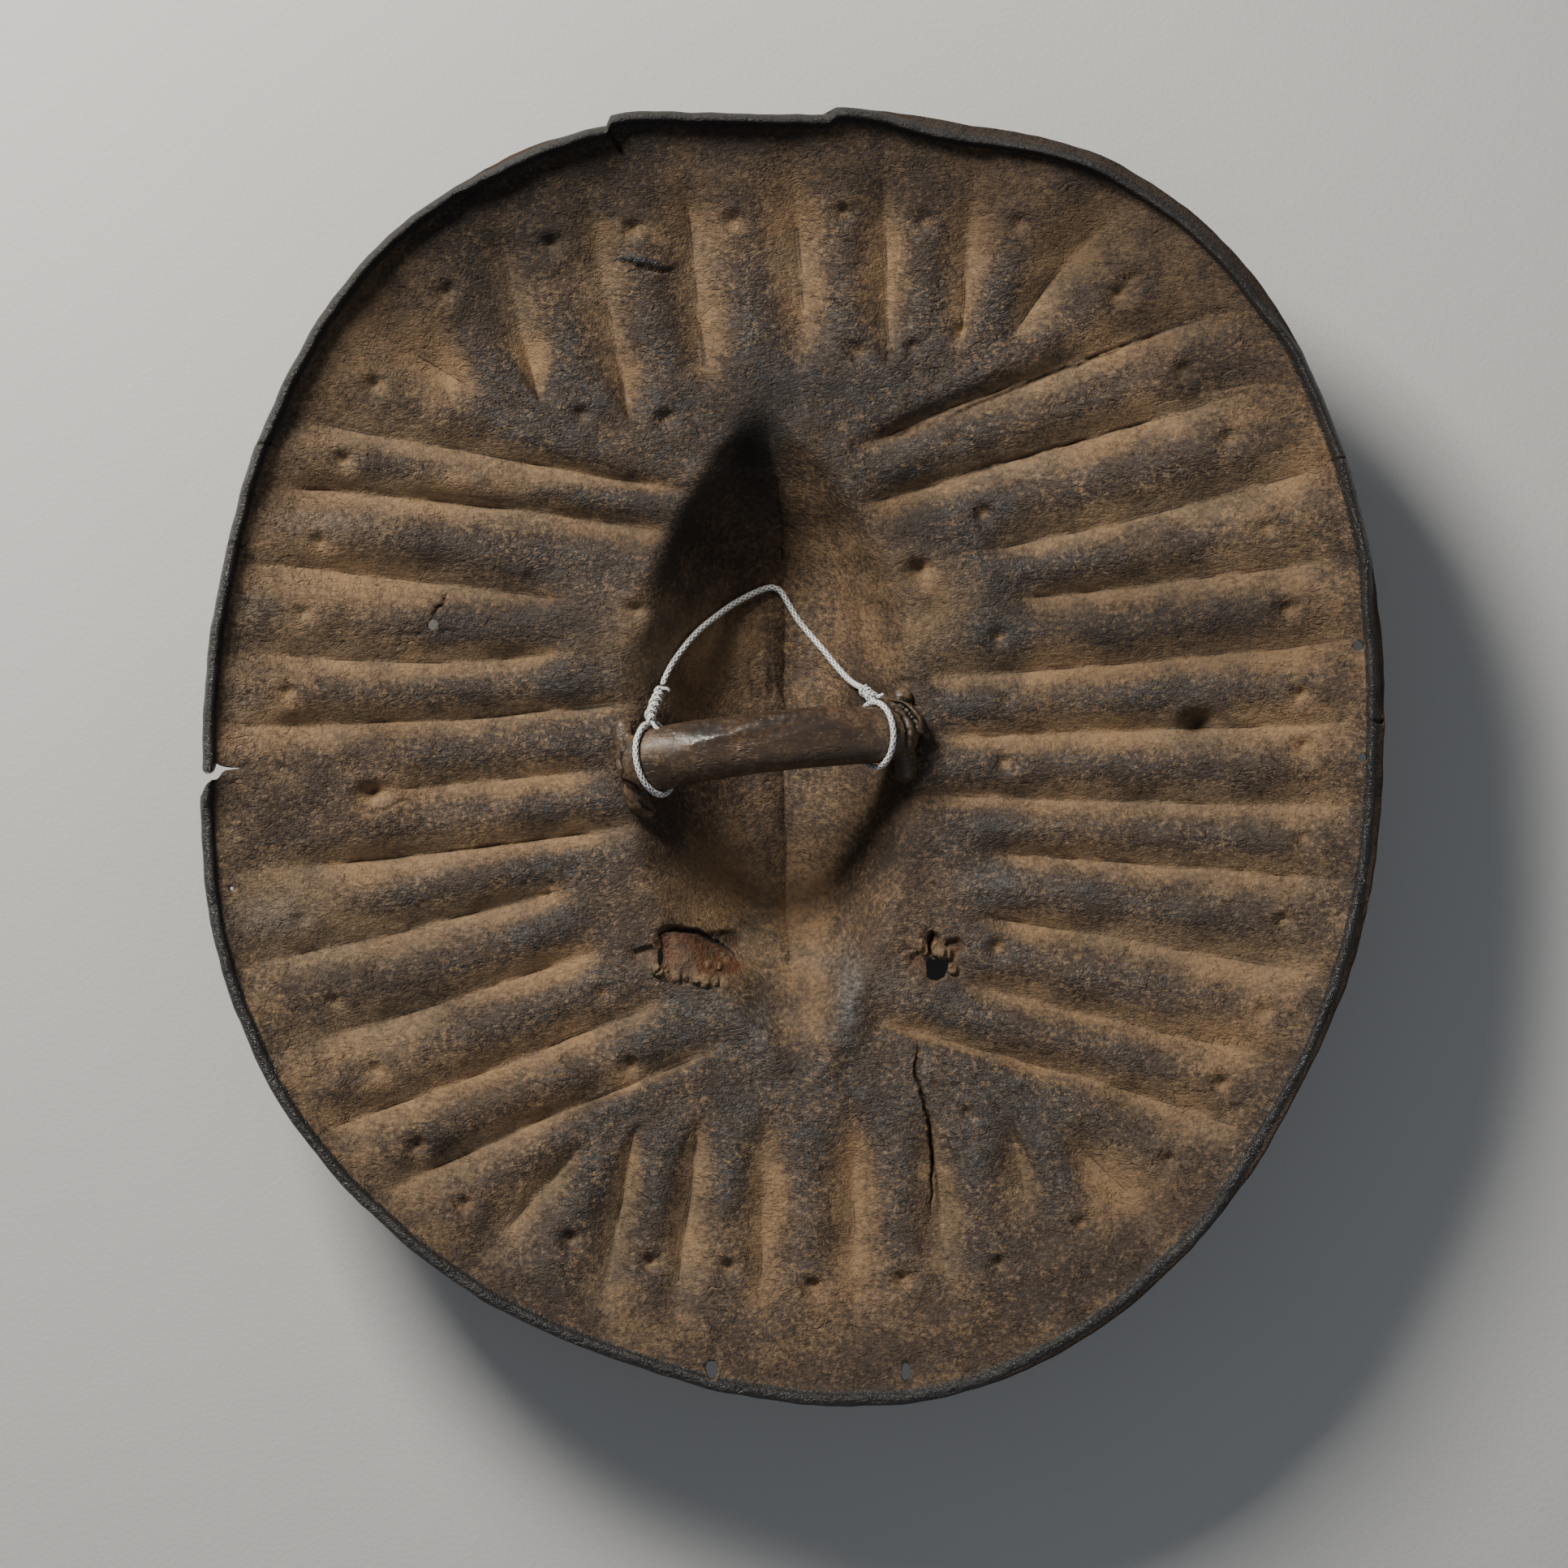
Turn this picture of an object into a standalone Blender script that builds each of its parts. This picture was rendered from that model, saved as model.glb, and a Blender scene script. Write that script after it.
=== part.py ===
"""A round embossed hide shield, lying on its front with the grip side up.

Metres, +Z up. +Y is the top of the shield as it is carried and +X its right side, seen from
behind. The origin is on the floor below the middle of the outline. The shield rests on a small
flat along the keel of its boss.

The hide is one moulded shell. Its grooves were measured as places on a picture of the shield, so
PICTURE gives the outline's edges there, and on_shield turns such a place into metres.
"""

import math

import bmesh
import bpy
import numpy as np

# The shell
SHIELD_WIDTH = 0.604
SHIELD_HEIGHT = 0.660
HIDE_THICKNESS = 0.007
BOSS_DEPTH = 0.066
DISH_RISE = 0.034
DISH_POWER = 2.4
KEEL_WALL = 0.004
REST_HALF_WIDTH = 0.014

# The rim's lip, which curls towards the grip side and is highest at the top
LIP_TOP_HEIGHT = 0.0095
LIP_LOW_HEIGHT = 0.0030
LIP_WIDTH = 0.0085

# The lip's section: inset as a share of its width, and height as a share of its height
LIP_SECTION = ((0.0, 0.25), (0.3, 1.0), (0.95, 0.25), (1.6, 0.0))
# The front's section at the rim: inset as before, and drop as a share of the hide's thickness
FRONT_SECTION = ((0.15, 0.8), (1.6, 1.0))

# The embossing
GROOVE_DEPTH = 0.0070
GROOVE_DEPTH_AT_RIM = 0.0014
GROOVE_GROWTH = 0.045
GROOVE_OPENING = 0.012
GROOVE_FADE = 0.040
GROOVE_SHARPNESS = 1.9
OUTER_RIDGE_SHARE = 0.9
DIMPLE_INSET = 0.029
DIMPLE_DEPTH = 0.0026

# The grip, a bar of rolled hide whose ends are seated on the hide and pegged through it
GRIP_WIDTH_LEFT = 0.0335
GRIP_WIDTH_RIGHT = 0.0285
GRIP_DEPTH = 0.0260
GRIP_RISE = 0.010
SEAT_HEIGHT = 0.009
SEAT_GAP = 0.0004
PEG_RADIUS = 0.0048
PEG_CLEARANCE = 0.0007
PEG_STICK_OUT = 0.0030

# The cord, tied round the grip at both ends
CORD_DIAMETER = 0.0032
TIE_CLEARANCE = 0.0006
KNOT_RADIUS = 0.0041

# Where the outline's edges lie on the picture, in its pixels
PICTURE = {"left": 248.0, "right": 1706.0, "top": 140.0, "bottom": 1732.0}

# The rim's reach at every 15 degrees, from the right round by the top, as a share of an even oval
RIM_REACH = (
    1.000, 1.021, 1.050, 1.076, 1.064, 1.013,
    0.992, 1.018, 1.043, 1.049, 1.024, 1.001,
    0.993, 1.012, 1.015, 1.000, 0.985, 0.978,
    0.997, 1.022, 1.025, 1.013, 1.000, 1.001,
)

# The grooves clockwise from the top one that runs to the keel. Each row has a groove's outer end
# and its inner end on the picture, and how far it bows to its left on the way in, in pixels.
GROOVES = (
    (977, 190, 995, 440, 0),
    (1089, 195, 1097, 445, 0),
    (1200, 195, 1187, 412, 0),
    (1400, 240, 1250, 410, -10),
    (1530, 378, 1062, 545, -7),
    (1560, 475, 1070, 617, 0),
    (1655, 568, 1215, 677, 6),
    (1678, 682, 1255, 735, 5),
    (1690, 785, 1140, 835, 4),
    (1690, 890, 1140, 908, 0),
    (1690, 993, 1140, 979, 3),
    (1688, 1086, 1205, 1050, 0),
    (1655, 1205, 1210, 1130, 0),
    (1620, 1312, 1185, 1212, 5),
    (1560, 1400, 1085, 1265, -6),
    (1455, 1532, 1312, 1395, 0),
    (1272, 1540, 1250, 1385, 0),
    (1170, 1600, 1147, 1380, 0),
    (1055, 1640, 1052, 1385, 0),
    (936, 1620, 944, 1385, 0),
    (828, 1640, 860, 1385, 0),
    (738, 1630, 780, 1395, 0),
    (570, 1575, 715, 1415, 0),
    (450, 1480, 878, 1300, 5),
    (372, 1402, 815, 1238, -3),
    (322, 1302, 735, 1172, -4),
    (280, 1192, 695, 1097, -5),
    (300, 1075, 790, 1018, -4),
    (455, 975, 755, 947, 0),
    (262, 894, 775, 865, -8),
    (268, 797, 690, 803, -15),
    (285, 690, 692, 738, 3),
    (300, 598, 825, 652, 8),
    (335, 512, 838, 600, 0),
    (445, 395, 588, 481, 0),
    (605, 245, 662, 492, 0),
    (722, 235, 773, 512, 0),
    (841, 190, 869, 478, 0),
)

# The keel of the boss and the hollow behind it, on the picture
KEEL_MIDDLE = 968
KEEL_TOP = 500
KEEL_BOTTOM = 1316
KEEL_LEAN = {"top": -26, "bottom": 17}
KEEL_DEEP_FROM = 694
KEEL_DEEP_TO = 1064
HOLLOW_MIDDLE = 905
HOLLOW_HALF_LENGTH = 411
HOLLOW_REACH = {"left": 215, "right": 176}
HOLLOW_ROUNDNESS = 0.8
HOLLOW_EDGE = 3
KEEL_SHARPNESS = 0.3

# The grip on the picture: its ends, its bow, and where its pegs go through the hide
GRIP_LEFT = (766, 943)
GRIP_RIGHT = (1124, 904)
GRIP_BOW = 9
PEGS = ((776, 942), (1118, 905))

# The rolled ends of the grip: rows of x, y and half width on the picture, and height over the hide
GRIP_ENDS = {
    "upper_left_toe": ((798, 938, 16, 0.017), (778, 918, 17, 0.011), (768, 899, 15, 0.006)),
    "small_left_toe": ((806, 925, 12, 0.018), (797, 908, 11, 0.012), (792, 896, 8, 0.007)),
    "lower_left_toe": (
        (792, 955, 17, 0.016),
        (780, 972, 16, 0.009),
        (784, 990, 15, 0.006),
        (797, 1000, 12, 0.005),
    ),
    "upper_right_toe": ((1108, 888, 15, 0.016), (1115, 868, 15, 0.011), (1114, 857, 14, 0.008)),
    "lower_right_toe": ((1112, 905, 17, 0.015), (1118, 932, 17, 0.010), (1119, 950, 15, 0.007)),
    "inner_coil": ((1094, 864, 7, 0.020), (1113, 880, 8, 0.020), (1122, 905, 8, 0.013)),
    "middle_coil": ((1103, 857, 7, 0.017), (1124, 878, 8, 0.016), (1131, 904, 8, 0.010)),
    "outer_coil": ((1117, 852, 8, 0.012), (1135, 877, 9, 0.011), (1139, 899, 8, 0.007)),
}
TOE_HALF_DEPTH = 0.0060

# The ties: each one's place along the grip as a share, its slant along the grip in pixels, and
# where its knot ends on the picture
TIES = {
    "cord_tie_left": {"share": 0.115, "slant": -16, "knot_end": (812, 848), "wraps": 5},
    "cord_tie_right": {"share": 0.875, "slant": 14, "knot_end": (1066, 849), "wraps": 3},
}
KNOT_DROP = {"cord_tie_left": 0.024, "cord_tie_right": 0.010}

# The cord between its knots: it lies down the wall of the hollow, across the keel, and hangs up
# to the right knot. Metres, chosen by hand.
CORD_ROUTE = (
    (-0.0677, 0.0387, 0.0534),
    (-0.0661, 0.0430, 0.0515),
    (-0.0630, 0.0493, 0.0489),
    (-0.0588, 0.0556, 0.0455),
    (-0.0534, 0.0626, 0.0411),
    (-0.0476, 0.0688, 0.0357),
    (-0.0402, 0.0750, 0.0286),
    (-0.0319, 0.0813, 0.0206),
    (-0.0228, 0.0866, 0.0148),
    (-0.0153, 0.0900, 0.0105),
    (-0.0104, 0.0908, 0.0087),
    (-0.0062, 0.0887, 0.0078),
    (-0.0021, 0.0821, 0.0084),
    (0.0029, 0.0738, 0.0099),
    (0.0095, 0.0655, 0.0132),
    (0.0162, 0.0576, 0.0181),
    (0.0220, 0.0502, 0.0222),
    (0.0282, 0.0431, 0.0288),
    (0.0322, 0.0396, 0.0390),
    (0.0345, 0.0381, 0.0520),
    (0.0353, 0.0375, 0.0641),
)
CORD_POINT_SPACING = 2.5

# Grid of the faceted shell: columns per pad, and rows as shares of the way from the dimples in
PAD_COLUMNS = (0.0, 0.2, 0.5, 0.8)
HOLLOW_PAD_COLUMNS = (0.0, 0.5)
UPPER_ROWS = (0.12, 0.25, 0.38, 0.50, 0.62)
UPPER_HOLLOW_ROWS = (0.73, 0.84, 0.93)
LOWER_ROWS = (0.18, 0.40, 0.62)
LOWER_HOLLOW_ROWS = (0.73, 0.86)

# Damage, on the picture: holes through the hide as (x, y, half width, half height)
HOLES = {
    "torn_hole": (1157, 1193, 13, 12),
    "slot_left": (877, 1688, 7.5, 11.5),
    "slot_right": (1117, 1691, 6, 11),
    "round_hole_left": (530, 768, 6.5, 6.5),
    "round_hole_upper_right": (1675, 795, 6.5, 6.5),
    "round_hole_right": (1680, 933, 5.5, 5.5),
    "crater_slit": (813, 1180, 4, 11),
}
RIM_TEAR = {"inner": (300, 951), "outer": (238, 950), "half_width": 5.5}
CRATERS = (
    {"middle": (846, 1178), "reach": (62, 36), "depth": 0.0042},
    {"middle": (1160, 1186), "reach": (38, 34), "depth": 0.0036},
)


def clear_scene():
    for old in list(bpy.data.objects):
        bpy.data.objects.remove(old, do_unlink=True)


def hide_material(name, colour, roughness):
    material = bpy.data.materials.new(name)
    material.use_nodes = True
    shader = material.node_tree.nodes["Principled BSDF"]
    shader.inputs["Base Color"].default_value = (*colour, 1.0)
    shader.inputs["Roughness"].default_value = roughness
    shader.inputs["Metallic"].default_value = 0.0
    return material


def on_shield(x, y):
    """The place in metres of a point that was measured on the picture."""
    across = (PICTURE["left"] + PICTURE["right"]) / 2
    up = (PICTURE["top"] + PICTURE["bottom"]) / 2
    scale_x = SHIELD_WIDTH / (PICTURE["right"] - PICTURE["left"])
    scale_y = SHIELD_HEIGHT / (PICTURE["bottom"] - PICTURE["top"])
    return np.array([(x - across) * scale_x, (up - y) * scale_y])


def picture_length(pixels):
    return pixels * SHIELD_WIDTH / (PICTURE["right"] - PICTURE["left"])


def smooth_step(value):
    value = np.clip(value, 0.0, 1.0)
    return value * value * (3.0 - 2.0 * value)


def rim_points(angles):
    """Points of the outline at these angles, fitted to the shield's width and height."""
    low, high = rim_span()
    return (uneven_oval(angles) - (low + high) / 2) / (high - low) * [
        SHIELD_WIDTH,
        SHIELD_HEIGHT,
    ]


def rim_span():
    """The corners of the uneven oval's own box."""
    points = uneven_oval(np.linspace(0, 2 * math.pi, 1440, endpoint=False))
    return points.min(axis=0), points.max(axis=0)


def uneven_oval(angles):
    """The outline at these angles as shares of its half width and half height."""
    step = 2 * math.pi / len(RIM_REACH)
    place = np.asarray(angles) / step
    index = np.floor(place).astype(int)
    t = place - index
    before, start, end, after = (
        np.take(RIM_REACH, index + offset, mode="wrap") for offset in (-1, 0, 1, 2)
    )
    reach = 0.5 * (
        2 * start
        + (end - before) * t
        + (2 * before - 5 * start + 4 * end - after) * t**2
        + (3 * start - before - 3 * end + after) * t**3
    )
    return np.stack([reach * np.cos(angles), reach * np.sin(angles)], axis=-1)


def rim_angle_beyond(inner, outer):
    """The angle at which a line from inner through outer meets the rim."""
    angles = np.linspace(-math.pi, math.pi, 2880, endpoint=False)
    offsets = rim_points(angles) - outer
    way = (outer - inner) / np.linalg.norm(outer - inner)
    aside = np.abs(way[0] * offsets[:, 1] - way[1] * offsets[:, 0])
    ahead = offsets @ way
    # Where a line ends on the rim itself, the rim point may lie a little behind its end.
    aside[ahead < -picture_length(20)] = np.inf
    return angles[np.argmin(aside)]


def keel_point(share):
    """A point of the keel line, from 0 at its top end to 1 at its bottom end."""
    y = KEEL_TOP + (KEEL_BOTTOM - KEEL_TOP) * share
    return on_shield(keel_across(y), y)


def keel_across(y):
    """The keel's place across the picture at a height on it."""
    middle = (KEEL_TOP + KEEL_BOTTOM) / 2
    along = (y - middle) / (middle - KEEL_TOP)
    lean_top = KEEL_LEAN["top"] * np.clip(-along, 0, 1) ** 3
    lean_bottom = KEEL_LEAN["bottom"] * np.clip(along, 0, 1) ** 3
    return KEEL_MIDDLE + lean_top + lean_bottom


def keel_share(index, count):
    """The keel points lie closer together towards both ends, where the pads turn round them."""
    even = index / count
    return 0.15 * even + 0.85 * (1 - math.cos(math.pi * even)) / 2


def base_height(x, y):
    """The height of the grip side's surface, without grooves or the rim's lip."""
    across, up = x * 2 / SHIELD_WIDTH, y * 2 / SHIELD_HEIGHT
    plateau = BOSS_DEPTH + DISH_RISE * np.hypot(across, up) ** DISH_POWER
    left_edge, top_edge = on_shield(PICTURE["left"], PICTURE["top"])
    picture_x = PICTURE["left"] + (x - left_edge) * (
        PICTURE["right"] - PICTURE["left"]
    ) / SHIELD_WIDTH
    picture_y = PICTURE["top"] + (top_edge - y) * (
        PICTURE["bottom"] - PICTURE["top"]
    ) / SHIELD_HEIGHT
    along = (picture_y - HOLLOW_MIDDLE) / HOLLOW_HALF_LENGTH
    waist = np.clip(1 - along**2, 1e-3, 1) ** HOLLOW_ROUNDNESS
    aside = picture_x - keel_across(picture_y)
    reach = np.where(aside < 0, HOLLOW_REACH["left"], HOLLOW_REACH["right"]) * waist
    out = np.clip(np.abs(aside) / reach, 0, 1)
    section = (1 - out**HOLLOW_EDGE) ** 2 * (1 - KEEL_SHARPNESS * out)
    deep = smooth_step((picture_y - KEEL_TOP) / (KEEL_DEEP_FROM - KEEL_TOP)) * smooth_step(
        (KEEL_BOTTOM - picture_y) / (KEEL_BOTTOM - KEEL_DEEP_TO)
    )
    return plateau - deep * section * (plateau - KEEL_WALL)


def wall_drop(x, y):
    """How far straight down the front surface lies: the hide's thickness across its slope."""
    step = 0.001
    slope_x = (base_height(x + step, y) - base_height(x - step, y)) / (2 * step)
    slope_y = (base_height(x, y + step) - base_height(x, y - step)) / (2 * step)
    return HIDE_THICKNESS * np.sqrt(1 + np.minimum(slope_x**2 + slope_y**2, 2.0))


def crater_drop(x, y):
    drop = np.zeros_like(x)
    for crater in CRATERS:
        middle = on_shield(*crater["middle"])
        reach = [picture_length(pixels) for pixels in crater["reach"]]
        out = np.hypot((x - middle[0]) / reach[0], (y - middle[1]) / reach[1])
        drop += crater["depth"] * (1 - smooth_step(out))
    return drop


class Grooves:
    """The lines of the grid: one column of points runs along each groove, from rim to keel."""

    def __init__(self):
        self.count = len(GROOVES)
        self.paths = []
        self.rim_angles = []
        self.ends = []
        half = self.count // 2
        for index, (outer_x, outer_y, inner_x, inner_y, bow) in enumerate(GROOVES):
            outer, inner = on_shield(outer_x, outer_y), on_shield(inner_x, inner_y)
            angle = rim_angle_beyond(inner, outer)
            keel = keel_point(keel_share(min(index, self.count - index), half))
            way = (inner - outer) / np.linalg.norm(inner - outer)
            aside = np.array([-way[1], way[0]]) * picture_length(bow)
            shares = np.linspace(0, 1, 7)[:, None]
            groove = outer + (inner - outer) * shares + aside * 4 * shares * (1 - shares)
            foot = self.foot_of(keel, inner)
            path = np.vstack([rim_points([angle]), groove, [foot]])
            self.paths.append(path)
            self.rim_angles.append(angle)
            lengths = self.lengths_of(path)
            self.ends.append((lengths[1], lengths[-2]))
        self.rim_angles = np.unwrap(self.rim_angles)

    @staticmethod
    def foot_of(keel, inner):
        """The point beside the keel where a column reaches the resting flat."""
        way = inner - keel
        reach = np.linalg.norm(way)
        return keel + way / reach * min(REST_HALF_WIDTH, 0.4 * reach)

    @staticmethod
    def lengths_of(path):
        steps = np.linalg.norm(np.diff(path, axis=0), axis=1)
        return np.concatenate([[0.0], np.cumsum(steps)])

    def at(self, index, inset, share):
        """A groove's point: an inset from the rim in metres, plus a share of the way left."""
        path = self.paths[index % self.count]
        lengths = self.lengths_of(path)
        distance = inset + (lengths[-1] - inset) * share
        point = np.array([np.interp(distance, lengths, path[:, axis]) for axis in (0, 1)])
        return point, distance

    def depth_at(self, index, distance):
        """How deep the groove is at a distance along its column."""
        start, end = self.ends[index % self.count]
        grown = smooth_step((distance - start) / GROOVE_GROWTH)
        depth = GROOVE_DEPTH_AT_RIM + (GROOVE_DEPTH - GROOVE_DEPTH_AT_RIM) * grown
        opening = smooth_step((distance - start + GROOVE_OPENING) / GROOVE_OPENING)
        fade = 1 - smooth_step((distance - end) / GROOVE_FADE + 0.7)
        return depth * opening * fade

    def row(self, inset, share, pad_columns):
        """One ring of points round the shield: places and the groove depth at each."""
        places, reliefs = [], []
        for index in range(self.count):
            here, here_distance = self.at(index, inset, share)
            there, there_distance = self.at(index + 1, inset, share)
            for column in pad_columns:
                place = here + (there - here) * column
                place = place + self.rim_bulge(index, column) * (1 - share) ** 2
                relief = self.depth_at(index, here_distance) * crease(column)
                relief += self.depth_at(index + 1, there_distance) * crease(1 - column)
                places.append(place)
                reliefs.append(relief)
        return np.array(places), np.array(reliefs)

    def rim_bulge(self, index, column):
        """How far the rounded rim lies outside the straight line between two columns."""
        here = self.rim_angles[index]
        there = self.rim_angles[(index + 1) % self.count]
        if index + 1 == self.count:
            there -= 2 * math.pi
        start, end, middle = rim_points([here, there, here + (there - here) * column])
        return middle - (start + (end - start) * column)


def crease(column):
    """A groove's section across a pad: sharp at the groove and level at the pad's crest."""
    return max(0.0, 1 - 2 * column) ** GROOVE_SHARPNESS


def lip_height(place):
    """The lip's height above the hide, at a point near the rim."""
    towards_top = smooth_step(0.5 + place[:, 1] / SHIELD_HEIGHT * 1.2)
    return LIP_LOW_HEIGHT + (LIP_TOP_HEIGHT - LIP_LOW_HEIGHT) * towards_top


def dimples(pad_columns, count):
    """1 on the crest of each pad and 0 elsewhere round a ring."""
    return np.tile([1.0 if column == 0.5 else 0.0 for column in pad_columns], count)


def upper_rings(grooves):
    """Rings of the grip side, from the rim in to the foot of the keel."""
    rings = []
    for inset, rise in LIP_SECTION:
        place, relief = grooves.row(LIP_WIDTH * inset, 0.0, PAD_COLUMNS)
        height = base_height(*place.T) - relief + lip_height(place) * rise
        rings.append(np.column_stack([place, height]))
    place, relief = grooves.row(DIMPLE_INSET, 0.0, PAD_COLUMNS)
    height = base_height(*place.T) - relief
    height -= DIMPLE_DEPTH * dimples(PAD_COLUMNS, grooves.count)
    rings.append(np.column_stack([place, height]))
    rows = [(share, PAD_COLUMNS) for share in UPPER_ROWS]
    rows += [(share, HOLLOW_PAD_COLUMNS) for share in (*UPPER_HOLLOW_ROWS, 1.0)]
    for share, pad_columns in rows:
        place, relief = grooves.row(DIMPLE_INSET, share, pad_columns)
        height = base_height(*place.T) - relief - crater_drop(*place.T)
        rings.append(np.column_stack([place, height]))
    return rings


def lower_rings(grooves):
    """Rings of the front side, from the rim in to the foot of the keel."""
    rings = []
    edge_rise = LIP_SECTION[0][1]
    for inset, drop in FRONT_SECTION:
        place, relief = grooves.row(LIP_WIDTH * inset, 0.0, PAD_COLUMNS)
        height = base_height(*place.T) - relief * OUTER_RIDGE_SHARE
        height += lip_height(place) * edge_rise * (1 - drop) - HIDE_THICKNESS * drop
        rings.append(np.column_stack([place, height]))
    rows = [(0.0, PAD_COLUMNS)]
    rows += [(share, PAD_COLUMNS) for share in LOWER_ROWS]
    rows += [(share, HOLLOW_PAD_COLUMNS) for share in (*LOWER_HOLLOW_ROWS, 1.0)]
    for share, pad_columns in rows:
        place, relief = grooves.row(DIMPLE_INSET, share, pad_columns)
        height = base_height(*place.T) - relief * OUTER_RIDGE_SHARE - wall_drop(*place.T)
        if share == 0.0:
            height -= DIMPLE_DEPTH * OUTER_RIDGE_SHARE * dimples(pad_columns, grooves.count)
        rings.append(np.column_stack([place, np.maximum(height, 0.0)]))
    return rings


def keel_ring(grooves, pad_columns, upper):
    """The keel's own points, from its top end to its bottom end."""
    count = grooves.count * len(pad_columns) // 2
    places = []
    for step in range(count + 1):
        index = step / len(pad_columns)
        places.append(keel_point(keel_share(index, grooves.count / 2)))
    place = np.array(places)
    height = base_height(*place.T)
    if not upper:
        height = np.maximum(height - wall_drop(*place.T), 0.0)
    return np.column_stack([place, height])


def add_rings(mesh, rings):
    return [[mesh.verts.new(point) for point in ring] for ring in rings]


def join_rings(mesh, outer, inner):
    """Faces between two rings, of which the inner may have half as many points."""
    count = len(outer)
    if len(inner) == count:
        for i in range(count):
            j = (i + 1) % count
            mesh.faces.new((outer[i], outer[j], inner[j], inner[i]))
        return
    for half in range(count // 2):
        a, b, c = outer[2 * half], outer[2 * half + 1], outer[(2 * half + 2) % count]
        d, e = inner[half], inner[(half + 1) % (count // 2)]
        mesh.faces.new((a, b, d))
        mesh.faces.new((b, e, d))
        mesh.faces.new((b, c, e))


def join_keel(mesh, ring, keel):
    """Faces from the last ring to the keel, whose points serve both sides of it."""
    count = len(ring)
    for i in range(count):
        j = (i + 1) % count
        here, there = keel[min(i, count - i)], keel[min(j, count - j)]
        mesh.faces.new((ring[i], ring[j], there, here))


def closed_shell(name, upper, upper_keel, lower, lower_keel):
    """A closed body between two skins of rings that meet along the rim."""
    mesh = bmesh.new()
    for rings, keel in ((upper, upper_keel), (lower, lower_keel)):
        verts = add_rings(mesh, rings)
        for outer, inner in zip(verts, verts[1:]):
            join_rings(mesh, outer, inner)
        join_keel(mesh, verts[-1], [mesh.verts.new(point) for point in keel])
        if rings is upper:
            first = verts[0]
        else:
            join_rings(mesh, first, verts[0])
    return finished(name, mesh)


def finished(name, mesh):
    """An object made from a bmesh, with its faces pointing out."""
    bmesh.ops.recalc_face_normals(mesh, faces=mesh.faces)
    data = bpy.data.meshes.new(name)
    mesh.to_mesh(data)
    mesh.free()
    thing = bpy.data.objects.new(name, data)
    bpy.context.collection.objects.link(thing)
    return thing


def as_helper(thing):
    thing.hide_render = True
    thing.display_type = "WIRE"
    return thing


def apply_boolean(target, helper, operation):
    modifier = target.modifiers.new(helper.name, "BOOLEAN")
    modifier.operation = operation
    modifier.object = as_helper(helper)
    modifier.solver = "EXACT"


def smooth_path(points, steps):
    """A Catmull-Rom curve through rows of numbers, with the given steps between two rows."""
    rows = np.array(points, float)
    padded = np.vstack([2 * rows[0] - rows[1], rows, 2 * rows[-1] - rows[-2]])
    found = []
    for i in range(len(rows) - 1):
        before, start, end, after = padded[i : i + 4]
        for t in np.linspace(0, 1, steps, endpoint=False):
            found.append(
                0.5
                * (
                    2 * start
                    + (end - before) * t
                    + (2 * before - 5 * start + 4 * end - after) * t**2
                    + (3 * start - before - 3 * end + after) * t**3
                )
            )
    found.append(rows[-1])
    return np.array(found)


def frame_along(path, index):
    """The direction of a path at one of its points, with the directions beside and over it."""
    ahead = path[min(index + 1, len(path) - 1)][:3]
    behind = path[max(index - 1, 0)][:3]
    way = (ahead - behind) / np.linalg.norm(ahead - behind)
    aside = np.cross([0, 0, 1], way)
    aside /= np.linalg.norm(aside)
    return way, aside, np.cross(way, aside)


def rounded_bar(name, path, sides):
    """A bar with rounded ends along rows of x, y, z, half width in plan and half height."""
    mesh = bmesh.new()
    rings = []
    turns = np.linspace(0, 2 * math.pi, sides, endpoint=False)

    def add_ring(index, shift, shrink):
        x, y, z, half_width, half_height = path[index]
        way, aside, up = frame_along(path, index)
        centre = np.array([x, y, z]) + way * shift * min(half_width, half_height)
        points = [
            centre
            + aside * half_width * shrink * math.cos(turn)
            + up * half_height * shrink * math.sin(turn)
            for turn in turns
        ]
        rings.append([mesh.verts.new(point) for point in points])

    for shift, shrink in ((-0.95, 0.30), (-0.60, 0.78)):
        add_ring(0, shift, shrink)
    for index in range(len(path)):
        add_ring(index, 0.0, 1.0)
    for shift, shrink in ((0.60, 0.78), (0.95, 0.30)):
        add_ring(len(path) - 1, shift, shrink)
    for here, there in zip(rings, rings[1:]):
        join_rings(mesh, here, there)
    mesh.faces.new(rings[0])
    mesh.faces.new(rings[-1])
    return finished(name, mesh)


def height_at(place):
    return float(base_height(np.array(place[0]), np.array(place[1])))


def grip_path(steps):
    """The grip's bar: rows of x, y, z, half width in plan and half height."""
    left, right = on_shield(*GRIP_LEFT), on_shield(*GRIP_RIGHT)
    seats = [height_at(end) + SEAT_HEIGHT for end in (left, right)]
    rows = []
    for share in np.linspace(0, 1, steps):
        arch = 4 * share * (1 - share)
        place = left + (right - left) * share
        place[1] += picture_length(GRIP_BOW) * arch
        height = seats[0] + (seats[1] - seats[0]) * share + GRIP_RISE * arch**0.7
        width = GRIP_WIDTH_LEFT + (GRIP_WIDTH_RIGHT - GRIP_WIDTH_LEFT) * share
        taper = 0.78 + 0.22 * smooth_step(arch * 2.5)
        rows.append((*place, height, width / 2 * taper, GRIP_DEPTH / 2 * taper))
    return np.array(rows)


def grip_at(path, share):
    """One row of the grip's path, with the directions along, beside and over it."""
    place = np.clip(share, 0, 1) * (len(path) - 1)
    index = min(int(place), len(path) - 2)
    row = path[index] + (path[index + 1] - path[index]) * (place - index)
    return row, frame_along(path, index)


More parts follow.
